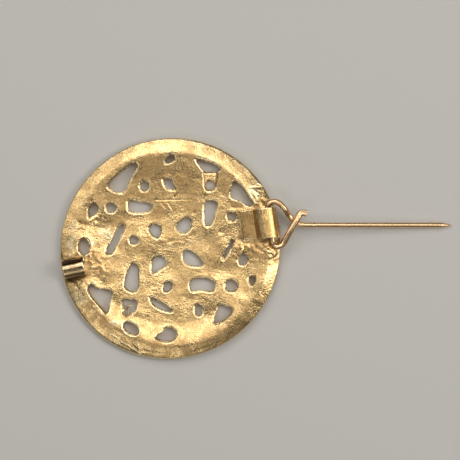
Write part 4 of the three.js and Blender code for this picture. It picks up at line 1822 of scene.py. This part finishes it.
@dataclass
class Studio:
    """The pale floor, the lights, the air around and the camera.

    Attributes:
        aim: Where the camera looks, as x, y and height in millimetres.
        field: Width of what it sees at that height.
        distance: How far above it the camera hangs.
        floor_reach: Half the floor's width.
        floor_colour: Colour of the floor.
        air_colour: Colour of the light from all around.
        air_strength: Strength of that light.
        lights: The soft lights.
    """

    aim: Triple = (10.74, 3.34, 1.5)
    field: float = 83.0
    distance: float = 255.0
    floor_reach: float = 1200.0
    floor_colour: Colour = (0.60, 0.59, 0.57)
    air_colour: Colour = (1.0, 0.98, 0.94)
    air_strength: float = 0.12
    lights: tuple[SoftBox, ...] = (
        SoftBox("key", 97.0, 50.0, 520.0, (300.0, 190.0), 0.45),
        SoftBox("high", 84.0, 74.0, 600.0, (440.0, 270.0), 0.84),
        SoftBox("low", 240.0, 56.0, 560.0, (420.0, 150.0), 0.32),
        SoftBox("left", 155.0, 48.0, 560.0, (260.0, 240.0), 0.30),
        SoftBox("right", 2.0, 53.0, 560.0, (220.0, 260.0), 0.87),
    )

    def build(self) -> None:
        """Builds the whole studio."""
        self._floor()
        self._air()
        target = Vector(self.aim) * MM
        for light in self.lights:
            light.build(target)
        self._camera(target)

    def _floor(self) -> None:
        """Lays the floor just under the display face; from below it is clear and lets that face show."""
        reach = self.floor_reach * MM
        level = -0.02 * MM
        turns = ((-1, -1), (1, -1), (1, 1), (-1, 1))
        corners = [(x * reach, y * reach, level) for x, y in turns]
        mesh = bpy.data.meshes.new("floor")
        mesh.from_pydata(corners, [], [(0, 1, 2, 3)])
        floor = bpy.data.objects.new("floor", mesh)
        bpy.context.scene.collection.objects.link(floor)
        material = bpy.data.materials.new("pale floor")
        material.use_nodes = True
        material.node_tree.nodes.clear()
        sheet = NodeSheet(material.node_tree)
        paint = sheet.feed(sheet.node("ShaderNodeBsdfPrincipled"), Base_Color=(*self.floor_colour, 1.0),
                           Roughness=0.85)
        clear = sheet.node("ShaderNodeBsdfTransparent")
        under = sheet.node("ShaderNodeNewGeometry")
        touching = sheet.math("LESS_THAN", sheet.node("ShaderNodeLightPath").outputs["Ray Length"], 0.2 * MM)
        unseen = sheet.math("MAXIMUM", under.outputs["Backfacing"], touching)
        mixed = sheet.node("ShaderNodeMixShader")
        material.node_tree.links.new(unseen, mixed.inputs[0])
        material.node_tree.links.new(paint.outputs["BSDF"], mixed.inputs[1])
        material.node_tree.links.new(clear.outputs["BSDF"], mixed.inputs[2])
        sheet.feed(sheet.node("ShaderNodeOutputMaterial"), Surface=mixed.outputs["Shader"])
        mesh.materials.append(material)

    def _air(self) -> None:
        """Sets the even light from all around."""
        world = bpy.data.worlds.new("air")
        bpy.context.scene.world = world
        world.use_nodes = True
        background = world.node_tree.nodes["Background"]
        background.inputs["Color"].default_value = (*self.air_colour, 1.0)
        background.inputs["Strength"].default_value = self.air_strength
        bpy.context.scene.view_settings.view_transform = "Standard"

    def _camera(self, target: Vector) -> None:
        """Hangs the camera straight above, with +Y up in its view.

        Args:
            target: The point that it looks at, in metres.
        """
        data = bpy.data.cameras.new("camera")
        data.sensor_width = 36.0
        data.lens = data.sensor_width * self.distance / self.field
        data.clip_start, data.clip_end = 0.01, 10.0
        camera = bpy.data.objects.new("camera", data)
        camera.location = target + Vector((0.0, 0.0, self.distance * MM))
        bpy.context.scene.collection.objects.link(camera)
        bpy.context.scene.camera = camera


# ---------------------------------------------------------------- assembly


@dataclass
class Brooch:
    """The whole brooch, dressed over its CAD pieces.

    Attributes:
        nodes: The CAD pieces by name.
        groups: The node groups that the finishes share.
    """

    nodes: dict[str, bpy.types.Object]
    groups: GoldGroups

    def build_disc(self) -> bpy.types.Object:
        """Builds the disc with its bead border and the curl in its piercing.

        Returns:
            The disc.
        """
        material = DISC_GOLD.material(self.groups)
        surface = PiercedDisc().build(self.nodes["disc"], self.nodes["hinge_strap"], ["hinge_strap", "catch"])
        surface.write()
        joined = bmesh.new()
        joined.from_mesh(surface.mesh)
        joined.from_mesh(BeadBorder().build(material))
        joined.from_mesh(MetalCurl().build(material))
        mesh = bpy.data.meshes.new("disc_gold")
        joined.to_mesh(mesh)
        joined.free()
        disc = Surface(mesh).finish("disc_gold", material)
        return self._place(disc, "brooch", "disc", "disc_gold")

    def build_fitting(
        self, fitting: SheetFitting, node: str, finish: GoldFinish, slot: str
    ) -> bpy.types.Object:
        """Builds the strap or the catch.

        Args:
            fitting: Its sizes.
            node: The CAD node it stands for.
            finish: Its finish.
            slot: The record's material slot.

        Returns:
            The piece.
        """
        piece = fitting.build(self.nodes[node]).finish(fitting.name, finish.material(self.groups))
        return self._place(piece, "brooch", node, slot)

    def build_pin(self) -> bpy.types.Object:
        """Builds the pin.

        Returns:
            The pin.
        """
        material = PIN_GOLD.material(self.groups)
        pin = BentPin().build(material).finish("pin_gold", material)
        return self._place(pin, "pin", "pin", "pin_gold")

    @staticmethod
    def _place(piece: bpy.types.Object, body: str, node: str, slot: str) -> bpy.types.Object:
        """Lets a piece ride on its body in place of a CAD node.

        Args:
            piece: The finished piece.
            body: The CAD body it rides on.
            node: The CAD node it stands for.
            slot: The record's material slot; not used.

        Returns:
            The piece.
        """
        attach(piece, body)
        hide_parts(node)
        LOG.info("%s: %d faces", piece.name, len(piece.data.polygons))
        return piece


def main() -> None:
    """Builds the scene."""
    logging.basicConfig(level=logging.INFO, format="%(name)s %(message)s")
    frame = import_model()
    brooch = Brooch(frame["nodes"], GoldGroups())
    brooch.build_disc()
    brooch.build_fitting(HINGE_STRAP, "hinge_strap", STRAP_GOLD, "strap_gold")
    brooch.build_fitting(CATCH, "catch", CATCH_GOLD, "catch_gold")
    brooch.build_pin()
    Studio().build()


if __name__ == "__main__":
    main()
